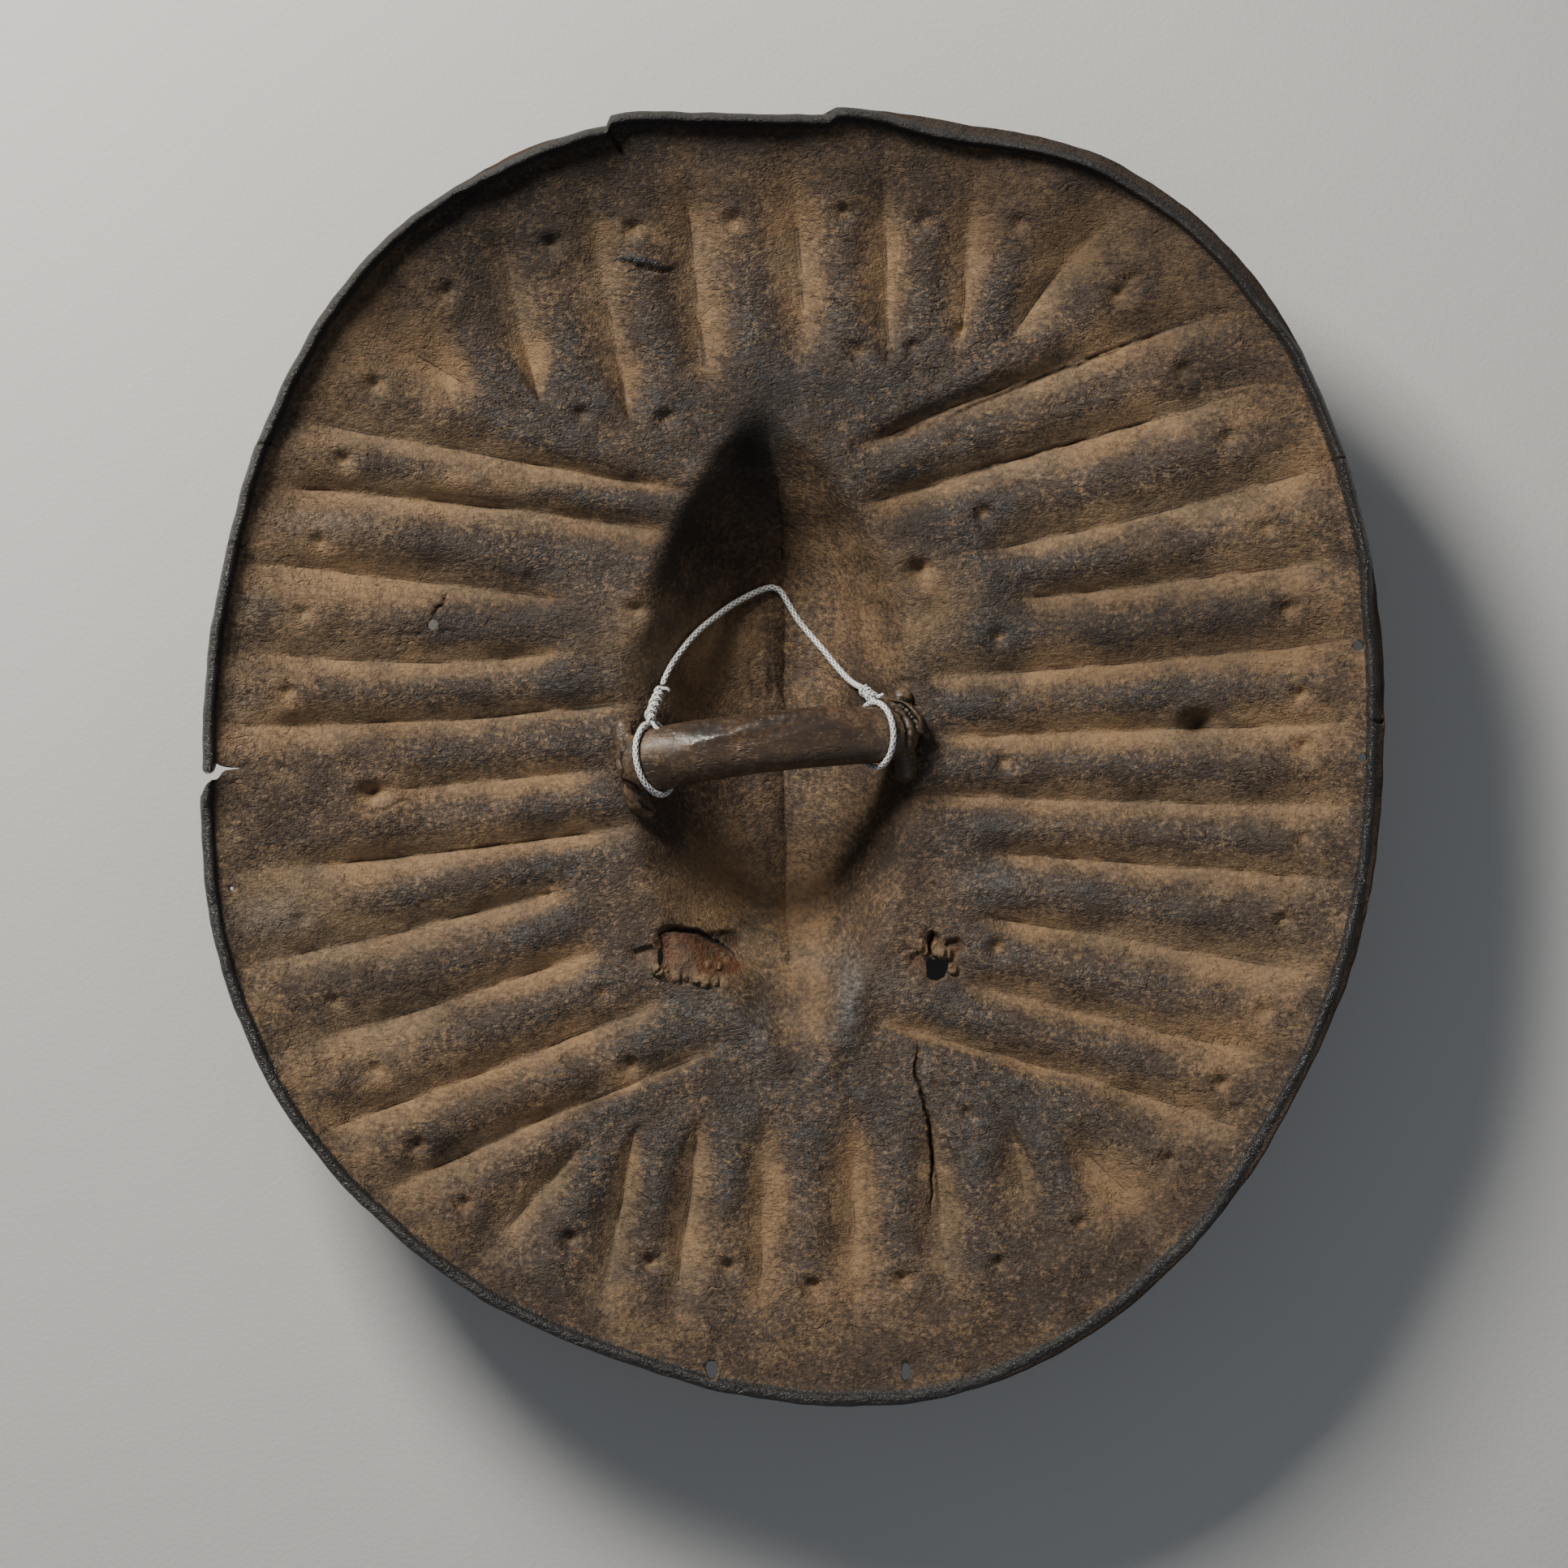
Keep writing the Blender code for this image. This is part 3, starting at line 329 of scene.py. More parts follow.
# Painted shade: in the hollow's top, under the grip, below the torn rim and in darker bands
SHADED_PLACES = (
    (957, 830, 7, 50, 0.30),
    (930, 550, 40, 66, 0.90), (880, 665, 60, 50, 0.30), (1112, 1050, 50, 48, 0.55),
    (272, 984, 15, 15, 0.55), (990, 1215, 12, 18, 0.45), (985, 1275, 7, 50, 0.30),
    (960, 490, 210, 55, 0.30),
    (1110, 640, 70, 60, 0.45), (1470, 770, 220, 60, 0.50), (835, 640, 65, 60, 0.45),
    (640, 765, 130, 55, 0.35), (450, 885, 60, 50, 0.25), (965, 1020, 70, 45, 0.35),
    (1120, 703, 16, 12, 0.45), (1480, 885, 20, 16, 0.45),
)

# The grip, its rolled ends and the ties, as in the solids
GRIP_WIDTH_LEFT = 0.0335
GRIP_WIDTH_RIGHT = 0.0285
GRIP_DEPTH = 0.0260
GRIP_RISE = 0.010
SEAT_HEIGHT = 0.009
GRIP_LEFT = (766, 943)
GRIP_RIGHT = (1124, 904)
GRIP_BOW = 9
PEGS = ((776, 942), (1118, 905))
PEG_RADIUS = 0.0048
PEG_SIDES = 20
PEG_ROWS = 12
PEG_CLEARANCE = 0.0007
PEG_STICK_OUT = 0.0030
GRIP_ENDS = (
    ((782, 944, 9, 0.009, 0.006), (773, 928, 12, 0.008, 0.006), (767, 909, 15, 0.006, 0.006),
     (766, 896, 13, 0.005, 0.005)),
    ((804, 926, 9, 0.014, 0.005), (796, 910, 9, 0.010, 0.005), (792, 897, 8, 0.006, 0.005)),
    ((792, 955, 17, 0.013, 0.008), (781, 972, 15, 0.009, 0.006), (784, 988, 15, 0.006, 0.006),
     (795, 999, 12, 0.004, 0.005)),
    ((1104, 890, 11, 0.010, 0.007), (1112, 872, 13, 0.009, 0.006), (1114, 858, 13, 0.006, 0.005)),
    ((1110, 912, 14, 0.010, 0.008), (1115, 932, 17, 0.008, 0.006), (1116, 950, 16, 0.005, 0.006)),
    ((1092, 870, 4.5, 0.014, 0.006), (1111, 877, 5, 0.013, 0.007), (1124, 891, 5, 0.011, 0.007),
     (1126, 901, 4.5, 0.010, 0.006)),
    ((1098, 862, 5, 0.010, 0.006), (1119, 869, 5.5, 0.009, 0.007), (1133, 883, 5.5, 0.008, 0.007),
     (1137, 900, 4.5, 0.006, 0.006)),
    ((1118, 909, 4, 0.007, 0.006), (1122, 913, 4, 0.006, 0.006)),
)
# Gaps between the layers at the grip's ends: lines on the picture
GRIP_GAPS = (
    ((1086, 866), (1104, 872), (1116, 884), (1120, 902), (1119, 932)),
    ((1093, 862), (1113, 869), (1127, 884), (1131, 903)),
    ((1100, 858), (1122, 863), (1137, 878), (1140, 892)),
    ((1100, 915), (1098, 940), (1102, 962)),
    ((783, 884), (782, 898), (784, 910)),
    ((770, 904), (764, 922), (763, 944), (766, 962)),
    ((764, 960), (778, 968), (792, 978)),
    ((786, 985), (795, 996), (806, 1000)),
)
GRIP_GAP_WIDTH = 0.0016
GRIP_GAP_DEPTH = 0.0014
GRIP_WORN_RIDGE = ((845, 920), (880, 910), (930, 897), (975, 882), (1020, 874), (1070, 876))
GRIP_FROM = 0.050
GRIP_TO = 0.955
BAR_SIDES = 48
TOE_SIDES = 20
GRIP_SKIN_STEP = 0.00075
CORD_DIAMETER = 0.0032
BRAID_SIDES = 20
BRAID_STRANDS = 4
BRAID_PITCH = 0.0072
BRAID_DENT = 0.18
CORD_STEP = 0.0005
TIE_CLEARANCE = 0.0006
TIES = {
    "cord_tie_left": {
        "share": 0.115, "slant": -16, "knot_end": (812, 848), "drop": 0.024, "wraps": 5,
        "tail": 1.0,
    },
    "cord_tie_right": {
        "share": 0.875, "slant": 14, "knot_end": (1066, 849), "drop": 0.010, "wraps": 3,
        "tail": 0.55,
    },
}

# The cord between its knots, the same route as its solid
CORD_ROUTE = (
    (-0.0677, 0.0387, 0.0534),
    (-0.0661, 0.0430, 0.0515),
    (-0.0630, 0.0493, 0.0489),
    (-0.0588, 0.0556, 0.0455),
    (-0.0534, 0.0626, 0.0411),
    (-0.0476, 0.0688, 0.0357),
    (-0.0402, 0.0750, 0.0286),
    (-0.0319, 0.0813, 0.0206),
    (-0.0228, 0.0866, 0.0148),
    (-0.0153, 0.0900, 0.0105),
    (-0.0104, 0.0908, 0.0087),
    (-0.0062, 0.0887, 0.0078),
    (-0.0021, 0.0821, 0.0084),
    (0.0029, 0.0738, 0.0099),
    (0.0095, 0.0655, 0.0132),
    (0.0162, 0.0576, 0.0181),
    (0.0220, 0.0502, 0.0222),
    (0.0282, 0.0431, 0.0288),
    (0.0322, 0.0396, 0.0390),
    (0.0345, 0.0381, 0.0520),
    (0.0353, 0.0375, 0.0641),
)

# Camera: straight above, with the photograph's frame laid over the height of the rim
RIM_HEIGHT = 0.100
CAMERA_DISTANCE = 3.0


def on_shield(x, y):
    """The place in metres of a point that was measured on the picture."""
    return np.array([(x - PICTURE_MIDDLE[0]) * PIXEL_WIDTH, (PICTURE_MIDDLE[1] - y) * PIXEL_HEIGHT])


def picture_place(x, y):
    """The place on the picture of points in metres."""
    return PICTURE_MIDDLE[0] + x / PIXEL_WIDTH, PICTURE_MIDDLE[1] - y / PIXEL_HEIGHT


def picture_length(pixels):
    return pixels * PIXEL_WIDTH


def smooth_step(value):
    value = np.clip(value, 0.0, 1.0)
    return value * value * (3.0 - 2.0 * value)


def rough(points, wavelength, seed):
    """Smooth noise between about -1 and 1 at each of these points, which may lie in plan."""
    shift = Vector((seed * 17.3, seed * 5.1, seed * 9.7))
    points = np.pad(points, ((0, 0), (0, 3 - points.shape[1])))
    return np.array([noise.noise(Vector(point) / wavelength + shift) for point in points])


def unevenness(points, layers):
    return sum(height * rough(points, wavelength, seed) for height, wavelength, seed in layers)


def spline(before, start, end, after, t):
    """A Catmull-Rom curve from start to end."""
    return 0.5 * (
        2 * start
        + (end - before) * t
        + (2 * before - 5 * start + 4 * end - after) * t**2
        + (3 * start - before - 3 * end + after) * t**3
    )


def smooth_path(points, steps):
    """A smooth curve through rows of numbers, with the given steps between two rows."""
    rows = np.array(points, float)
    padded = np.vstack([2 * rows[0] - rows[1], rows, 2 * rows[-1] - rows[-2]])
    shares = np.linspace(0, 1, steps, endpoint=False)
    found = [spline(*padded[i : i + 4], t) for i in range(len(rows) - 1) for t in shares]
    return np.array([*found, rows[-1]])


def lengths_of(path):
    steps = np.linalg.norm(np.diff(path, axis=0), axis=1)
    return np.concatenate([[0.0], np.cumsum(steps)])


def evenly(path, spacing):
    """The path with its points an even distance apart."""
    lengths = lengths_of(path)
    places = np.linspace(0, lengths[-1], max(2, round(lengths[-1] / spacing) + 1))
    return np.stack([np.interp(places, lengths, column) for column in path.T], axis=1)


def linked(name, data):
    thing = bpy.data.objects.new(name, data)
    bpy.context.scene.collection.objects.link(thing)
    return thing


def mesh_object(name, points, faces):
    data = bpy.data.meshes.new(name)
    data.from_pydata([tuple(point) for point in points], [], faces)
    data.validate()
    return linked(name, data)


def joined(parts):
    """The points and faces of several parts, as one list of points and one of faces."""
    points, faces = [], []
    for part_points, part_faces in parts:
        faces += [tuple(index + len(points) for index in face) for face in part_faces]
        points += list(part_points)
    return points, faces


def tube_faces(rows, sides, closed=False):
    """Faces of a tube made of rings of points, with an end face at each end if it isn't closed."""
    faces = []
    for row in range(rows if closed else rows - 1):
        below, above = row * sides, (row + 1) % rows * sides
        for side in range(sides):
            after = (side + 1) % sides
            faces.append((below + side, below + after, above + after, above + side))
    if not closed:
        faces += [tuple(range(sides)), tuple(range((rows - 1) * sides, rows * sides))]
    return faces


def face_outwards(data):
    mesh = bmesh.new()
    mesh.from_mesh(data)
    bmesh.ops.recalc_face_normals(mesh, faces=mesh.faces)
    mesh.to_mesh(data)
    mesh.free()


def values_of(items, name, width=3):
    """One row of numbers for each item."""
    found = np.empty(len(items) * width, np.float32)
    items.foreach_get(name, found)
    return found.reshape(-1, width).astype(float)


def points_and_normals(data):
    return values_of(data.vertices, "co"), values_of(data.vertex_normals, "vector")


def mesh_mask(data, name):
    return values_of(data.attributes[name].data, "value", 1)[:, 0]


def place_points(data, points):
    data.vertices.foreach_set("co", np.ascontiguousarray(points, np.float32).ravel())
    data.update()


def set_mask(data, name, values):
    mask = data.attributes.get(name) or data.attributes.new(name, "FLOAT", "POINT")
    mask.data.foreach_set("value", np.clip(values, 0, 1).astype(np.float32))


def apply_modifiers(thing):
    graph = bpy.context.evaluated_depsgraph_get()
    data = bpy.data.meshes.new_from_object(thing.evaluated_get(graph))
    thing.modifiers.clear()
    thing.data = data


def dress(thing, paint, node):
    """Gives a finished piece its material, hangs it under the root body and hides the solid that it
    replaces.
    """
    thing.data.shade_smooth()
    thing.data.materials.clear()
    thing.data.materials.append(paint)
    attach(thing, "root")
    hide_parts(node)


def make_camera():
    data = bpy.data.cameras.new("camera")
    camera = linked("camera", data)
    aim = on_shield(PICTURE_SIZE / 2, PICTURE_SIZE / 2)
    camera.location = (aim[0], aim[1], RIM_HEIGHT + CAMERA_DISTANCE)
    data.angle = 2 * math.atan(picture_length(PICTURE_SIZE) / 2 / CAMERA_DISTANCE)
    data.clip_end = 20
    bpy.context.scene.camera = camera


make_camera()


# Shader nodes


class Tone:
    """A node's output that can be added, subtracted and multiplied like a number."""

    def __init__(self, paint, socket):
        self.paint, self.socket = paint, socket

    def __add__(self, other):
        return self.paint.math("ADD", self, other)

    def __sub__(self, other):
        return self.paint.math("SUBTRACT", self, other)

    def __rsub__(self, other):
        return self.paint.math("SUBTRACT", other, self)

    def __mul__(self, other):
        return self.paint.math("MULTIPLY", self, other)

    def clamped(self):
        self.socket.node.use_clamp = True
        return self


class Paint:
    """A material's node tree, with short calls for the nodes that it uses."""

    def __init__(self, name):
        self.material = bpy.data.materials.new(name)
        self.material.use_nodes = True
        self.tree = self.material.node_tree
        self.shader = self.tree.nodes["Principled BSDF"]
        self.place = self.tree.nodes.new("ShaderNodeTexCoord").outputs["Object"]

    def put(self, socket, value):
        """Links a socket to this input, or sets the input to this value."""
        value = getattr(value, "socket", value)
        if isinstance(value, bpy.types.NodeSocket):
            self.tree.links.new(value, socket)
        else:
            socket.default_value = value

    def node(self, kind, inputs, output=0, **settings):
        made = self.tree.nodes.new("ShaderNode" + kind)
        for name, value in settings.items():
            setattr(made, name, value)
        for name, value in inputs.items():
            self.put(made.inputs[name], value)
        return Tone(self, made.outputs[output])

    def stretched(self, scale, turn=0.0):
        inputs = {"Vector": self.place, "Scale": scale, "Rotation": (0, 0, turn)}
        return self.node("Mapping", inputs)

    def noise(self, scale, detail=4.0, roughness=0.55, place=None, warp=0.0):
        inputs = {"Vector": place or self.place, "Scale": scale, "Detail": detail}
        return self.node("TexNoise", {**inputs, "Roughness": roughness, "Distortion": warp})

    def mask(self, name):
        return self.node("Attribute", {}, "Fac", attribute_name=name)

    def math(self, operation, first, second=0.0):
        return self.node("Math", {0: first, 1: second}, operation=operation)

    def band(self, value, low, high):
        """0 where the value is at or below low, 1 where it is at or above high."""
        inputs = {"Value": value, "From Min": low, "From Max": high}
        return self.node("MapRange", inputs, interpolation_type="SMOOTHSTEP")

    def spread(self, value, low, high):
        """A value of about 0 to 1 moved to between low and high."""
        inputs = {"Value": value, "From Min": 0.25, "From Max": 0.75, "To Min": low, "To Max": high}
        return self.node("MapRange", inputs)

    def mix(self, first, second, share):
        return self.node("Mix", {0: share, 6: first, 7: second}, 2, data_type="RGBA")

    def layered(self, base, *layers):
        """The base with each layer's tint mixed over it by the layer's share."""
        for tint, share in layers:
            base = self.mix(base, tint, share)
        return base

    def blend(self, first, second, share):
        """Two numbers mixed."""
        return self.node("Mix", {0: share, 2: first, 3: second})

    def finish(self, colour, roughness, height, distance):
        """Sets the shader's colour and roughness, and a relief of this height and distance."""
        bump = self.node("Bump", {"Strength": 1.0, "Distance": distance, "Height": height})
        for name, value in (("Base Color", colour), ("Roughness", roughness), ("Normal", bump)):
            self.put(self.shader.inputs[name], value)
        return self.material


def colour(red, green, blue):
    return (red, green, blue, 1.0)


DEEP_BROWN = colour(0.036, 0.022, 0.013)
MID_BROWN = colour(0.090, 0.053, 0.027)
RED_BROWN = colour(0.105, 0.045, 0.024)
OCHRE_DUST = colour(0.285, 0.175, 0.086)
TAN_DUST = colour(0.212, 0.143, 0.080)
DARK_PATINA = colour(0.027, 0.021, 0.017)
BLUE_PATINA = colour(0.033, 0.037, 0.041)
PALE_SCUFF = colour(0.26, 0.24, 0.21)
PALE_GREY = colour(0.200, 0.190, 0.175)
RIM_BLACK = colour(0.026, 0.026, 0.027)
CUT_BROWN = colour(0.090, 0.056, 0.034)
RAW_RED = colour(0.110, 0.045, 0.018)
# Near black for painted shade
SHADE_BLACK = colour(0.006, 0.004, 0.003)
GRIP_DARK = colour(0.024, 0.016, 0.010)
GRIP_BROWN = colour(0.088, 0.053, 0.031)
GRIP_MOTTLE = colour(0.150, 0.092, 0.056)
GRIP_POLISH = colour(0.022, 0.020, 0.020)
GRIP_BARE = colour(0.200, 0.120, 0.064)
CORD_WHITE = colour(0.90, 0.90, 0.88)
# Grey for grime, and for painted shade between the braid's strands
CORD_GRIME_AND_SHADE = colour(0.22, 0.22, 0.21)
FLOOR_DARK = colour(0.52, 0.52, 0.51)
FLOOR_PALE = colour(0.58, 0.58, 0.57)


def curls(paint, scale, place, width):
    """Short curly ridges, as on a dried skin: a contour of noise, broken up by other noise."""
    away = paint.math("ABSOLUTE", paint.noise(scale, 2.0, 0.5, place, 0.6) - 0.5)
    line = 1.0 - paint.band(away, 0.0, width)
    return line * paint.band(paint.noise(scale * 0.6, 2.0), 0.48, 0.62)


def hide_relief(paint):
    """The relief of old hide, from broad wrinkles down to pores, and its curls by themselves."""
    across = paint.stretched((0.55, 1.0, 1.0), 0.12)
    peel = paint.blend(0.55, 1.0, paint.mask("peel"))
    lines = (curls(paint, 120.0, across, 0.030) + curls(paint, 260.0, across, 0.050)) * peel * 0.34
    inputs = {"Vector": across, "Scale": 330.0}
    edges = paint.node("TexVoronoi", inputs, "Distance", feature="DISTANCE_TO_EDGE")
    height = paint.noise(60.0, 6.0, 0.62, across, 0.4) * 1.3 - lines
    height = height + paint.band(edges, 0.0, 0.12) * 0.10
    height = height + paint.noise(430.0, 4.0, 0.7, across, 0.8) * 0.85
    return height + paint.noise(700.0, 4.0, 0.6) * 0.34, lines


def hide_paint():
    paint = Paint("old_hide")
    patina, raw, painted_shade = paint.mask("patina"), paint.mask("raw"), paint.mask("painted_shade")
    cut = paint.band(paint.mask("cut"), 0.15, 0.40)
    rim = paint.band(paint.mask("bead"), 0.25, 0.85) * (1.0 - cut)
    crease_line = paint.band(paint.mask("crease"), 0.42, 0.90)
    height, lines = hide_relief(paint)
    cloud = paint.noise(13.0, 6.0, 0.6, None, 0.5)
    speck = paint.noise(360.0, 5.0, 0.75)
    patch = paint.noise(42.0, 5.0, 0.62)
    dusty_and_lit = paint.mask("dust_and_light") * 0.90 + paint.spread(patch, -0.50, 0.50)
    dusty_and_lit = dusty_and_lit + paint.spread(cloud, -0.24, 0.24)
    dusty_and_lit = (dusty_and_lit + paint.spread(speck, -0.50, 0.50)).clamped()
    dust_and_light_colour = paint.mix(TAN_DUST, OCHRE_DUST, paint.band(cloud, 0.38, 0.62))
    worn = patina + paint.spread(paint.noise(85.0, 5.0, 0.65), -0.42, 0.36)
    worn = (worn * paint.band(patina, 0.05, 0.45)).clamped()
    blued = paint.band(paint.noise(95.0, 5.0, 0.7), 0.50, 0.66)
    bright = paint.band(speck, 0.52, 0.62) * paint.band(patch, 0.34, 0.60)
    pale_wear_and_sheen = (paint.mask("pale_wear_and_sheen") * paint.band(speck, 0.36, 0.56)).clamped()
    base = paint.layered(
        DEEP_BROWN,
        (MID_BROWN, paint.band(cloud, 0.30, 0.70)),
        (DEEP_BROWN, paint.band(speck, 0.52, 0.40) * 0.75),
        (RED_BROWN, paint.band(patch, 0.56, 0.74) * 0.45),
        # Dust, partly painted light
        (dust_and_light_colour, dusty_and_lit * 0.9),
        (paint.mix(DARK_PATINA, BLUE_PATINA, blued), worn * 0.74),
        (OCHRE_DUST, bright * 0.60),
        (PALE_SCUFF, paint.band(speck, 0.62, 0.70) * 0.20),
        # Painted shade in the curls' grooves
        (DEEP_BROWN, (lines * 0.5).clamped()),
        # Pale wear, partly painted sheen
        (PALE_GREY, pale_wear_and_sheen * 0.55),
        (paint.mix(CUT_BROWN, RAW_RED, paint.band(patch, 0.42, 0.60)), raw),
        (RIM_BLACK, rim * 0.93),
        (paint.mix(DEEP_BROWN, CUT_BROWN, patch), cut),
        # Painted shade along the groove creases, and over the shaded patches, cracks and rim bands
        (SHADE_BLACK, crease_line * 0.6),
        (SHADE_BLACK, painted_shade),
    )
    roughness = paint.blend(paint.spread(paint.noise(55.0), 0.50, 0.70), 0.86, dusty_and_lit * 0.7)
    roughness = paint.blend(roughness, paint.spread(speck, 0.36, 0.52), worn)
    roughness = paint.blend(roughness, paint.spread(speck, 0.14, 0.24), rim)
    return paint.finish(base, paint.blend(roughness, 0.95, painted_shade), height, 0.0013)


def grip_paint():
    paint = Paint("handled_hide")
    polish = paint.mask("polish")
    along = paint.stretched((0.35, 1.2, 1.2), -0.10)
    streak = paint.noise(150.0, 5.0, 0.62, along, 0.3)
    patch = paint.noise(70.0, 5.0, 0.65)
    speck = paint.noise(480.0, 4.0, 0.7)
    dusty_and_lit = paint.mask("dust_and_light") * paint.band(speck, 0.36, 0.60)
    base = paint.layered(
        GRIP_DARK,
        (GRIP_BROWN, streak),
        (GRIP_MOTTLE, paint.band(patch, 0.50, 0.66) * paint.band(speck, 0.44, 0.58) * 0.65),
        (GRIP_POLISH, polish * paint.band(patch, 0.66, 0.40) * 0.70),
        (TAN_DUST, dusty_and_lit * paint.band(patch, 0.36, 0.60)),
        (GRIP_BARE, paint.band(speck, 0.56, 0.64) * paint.band(streak, 0.42, 0.60) * 0.5),
        # Painted shade in the grip's crevices and gaps
        (SHADE_BLACK, paint.mask("crevice_shade") * 0.9),
    )
    height = streak + patch * 0.8 + speck * 0.25 - curls(paint, 150.0, along, 0.045) * 0.5
    roughness = paint.blend(paint.spread(streak, 0.34, 0.52), 0.80, dusty_and_lit)
    roughness = paint.blend(roughness, paint.spread(streak, 0.22, 0.34), polish)
    return paint.finish(base, roughness, height * (1.0 - polish * 0.75), 0.00060)


def cord_paint():
    paint = Paint("white_braid")
    grime = paint.band(paint.noise(120.0, 4.0, 0.6), 0.5, 0.7) * 0.3
    # Painted shade in the dips between the strands
    strand_gap_shade = paint.band(paint.mask("strand_gap_shade"), 0.20, 0.85)
    base = paint.layered(CORD_WHITE, (CORD_GRIME_AND_SHADE, grime), (CORD_GRIME_AND_SHADE, strand_gap_shade))
    return paint.finish(base, 0.75, paint.noise(1500.0, 3.0, 0.7), 0.00025)


def floor_paint():
    paint = Paint("floor")
    base = paint.mix(FLOOR_DARK, FLOOR_PALE, paint.noise(3.0, 2.0))
    return paint.finish(base, 0.85, paint.noise(400.0, 2.0), 0.0002)


# The hide's shape


def uneven_oval(angles):
    """The outline at these angles as shares of its half width and half height."""
    place = np.asarray(angles) / (2 * math.pi / len(RIM_REACH))
    index = np.floor(place).astype(int)
    around = (np.take(RIM_REACH, index + offset, mode="wrap") for offset in (-1, 0, 1, 2))
    reach = spline(*around, place - index)
    return np.stack([reach * np.cos(angles), reach * np.sin(angles)], axis=-1)


WHOLE_OVAL = uneven_oval(np.linspace(0, 2 * math.pi, 1440, endpoint=False))
OVAL_LOW, OVAL_HIGH = WHOLE_OVAL.min(axis=0), WHOLE_OVAL.max(axis=0)


def rim_points(angles):
    """Points of the outline at these angles."""
    share = (uneven_oval(angles) - (OVAL_LOW + OVAL_HIGH) / 2) / (OVAL_HIGH - OVAL_LOW)
    return share * [SHIELD_WIDTH, SHIELD_HEIGHT]


def rim_angle_beyond(inner, outer):
    """The angle at which a line from inner through outer meets the rim."""
    angles = np.linspace(-math.pi, math.pi, 2880, endpoint=False)
    offsets = rim_points(angles) - outer
    way = (outer - inner) / np.linalg.norm(outer - inner)
    aside = np.abs(way[0] * offsets[:, 1] - way[1] * offsets[:, 0])
    aside[offsets @ way < -picture_length(20)] = np.inf
    return angles[np.argmin(aside)]


def keel_across(y):
    """The keel's place across the picture at a height on it."""
    middle = (KEEL_TOP + KEEL_BOTTOM) / 2
    along = (y - middle) / (middle - KEEL_TOP)
    lean_top = KEEL_LEAN["top"] * np.clip(-along, 0, 1) ** 3
    lean_bottom = KEEL_LEAN["bottom"] * np.clip(along, 0, 1) ** 3
    wobble = 1.4 * np.sin(np.asarray(y) / 23) + 0.8 * np.sin(np.asarray(y) / 9.1)
    return KEEL_MIDDLE + lean_top + lean_bottom + wobble


def keel_point(even):
    """A point of the keel, from 0 at its top end to 1 at its bottom end, closer set at both."""
    share = 0.15 * even + 0.85 * (1 - math.cos(math.pi * even)) / 2
    y = KEEL_TOP + (KEEL_BOTTOM - KEEL_TOP) * share
    return on_shield(keel_across(y), y)


def plateau_height(x, y):
    """The height of the dish round the boss."""
    away = np.hypot(x * 2 / SHIELD_WIDTH, y * 2 / SHIELD_HEIGHT)
    return BOSS_DEPTH + DISH_RISE * away**DISH_POWER


def base_height(x, y):
    """The height of the grip side's surface, without grooves or the rim's lip."""
    plateau = plateau_height(x, y)
    picture_x, picture_y = picture_place(x, y)
    along = (picture_y - HOLLOW_MIDDLE) / HOLLOW_HALF_LENGTH
    waist = np.clip(1 - along**2, 1e-3, 1) ** HOLLOW_ROUNDNESS
    aside = picture_x - keel_across(picture_y)
    reach = np.where(aside < 0, HOLLOW_REACH["left"], HOLLOW_REACH["right"]) * waist
    out = np.clip(np.abs(aside) / reach, 0, 1)
    section = (1 - out**HOLLOW_EDGE) ** 2 * (1 - KEEL_SHARPNESS * out)
    deep = smooth_step((picture_y - KEEL_TOP) / (KEEL_DEEP_FROM - KEEL_TOP))
    deep = deep * smooth_step((KEEL_BOTTOM - picture_y) / (KEEL_BOTTOM - KEEL_DEEP_TO))
    return plateau - deep * section * (plateau - KEEL_WALL)


def keel_fold(x, y):
    """The crisp fold along the keel: the hide rises a little beside it."""
    picture_x, picture_y = picture_place(x, y)
    offset = picture_length(picture_x - keel_across(picture_y))
    aside = np.abs(offset)
    along = smooth_step((picture_y - 530) / 90) * smooth_step((1240 - picture_y) / 160)
    along *= 1 - 0.8 * np.exp(-(((picture_y - 722) / 26) ** 2))
    fold = KEEL_FOLD * along * (1 - np.exp(-aside / 0.004)) * np.exp(-((aside / 0.026) ** 2))
    upper = smooth_step((picture_y - 490) / 60) * smooth_step((700 - picture_y) / 90)
    bank = KEEL_BANK * upper * (1 - np.exp(-aside / 0.005)) * np.exp(-((aside / 0.034) ** 2))
    return fold + np.where(offset > 0, bank, -0.35 * bank)


def height_at(place):
    return float(base_height(np.array(place[0]), np.array(place[1])))


def wall_drop(x, y):
    """How far straight down the front surface lies: the hide's thickness across its slope."""
    step = 0.001
    slope_x = (base_height(x + step, y) - base_height(x - step, y)) / (2 * step)
    slope_y = (base_height(x, y + step) - base_height(x, y - step)) / (2 * step)
    return HIDE_THICKNESS * np.sqrt(1 + np.minimum(slope_x**2 + slope_y**2, 2.0))


def crease(column):
    """A groove's section across a pad: sharp at the groove and level at the pad's crest."""
    away = np.sqrt(np.asarray(column) ** 2 + GROOVE_ROUNDING**2)
    return (np.maximum(0.0, 1 - 2 * away) / (1 - 2 * GROOVE_ROUNDING)) ** GROOVE_SHARPNESS


def lip_height(place):
    """The lip's height above the hide, at points near the rim."""
    towards_top = smooth_step(0.5 + place[:, 1] / SHIELD_HEIGHT * 1.2)
    return LIP_LOW_HEIGHT + (LIP_TOP_HEIGHT - LIP_LOW_HEIGHT) * towards_top


def pad_columns(count):
    """Places across a pad, closer together towards its grooves."""
    even = np.arange(count) / count
    return 0.5 * even + 0.25 * (1 - np.cos(np.pi * even))


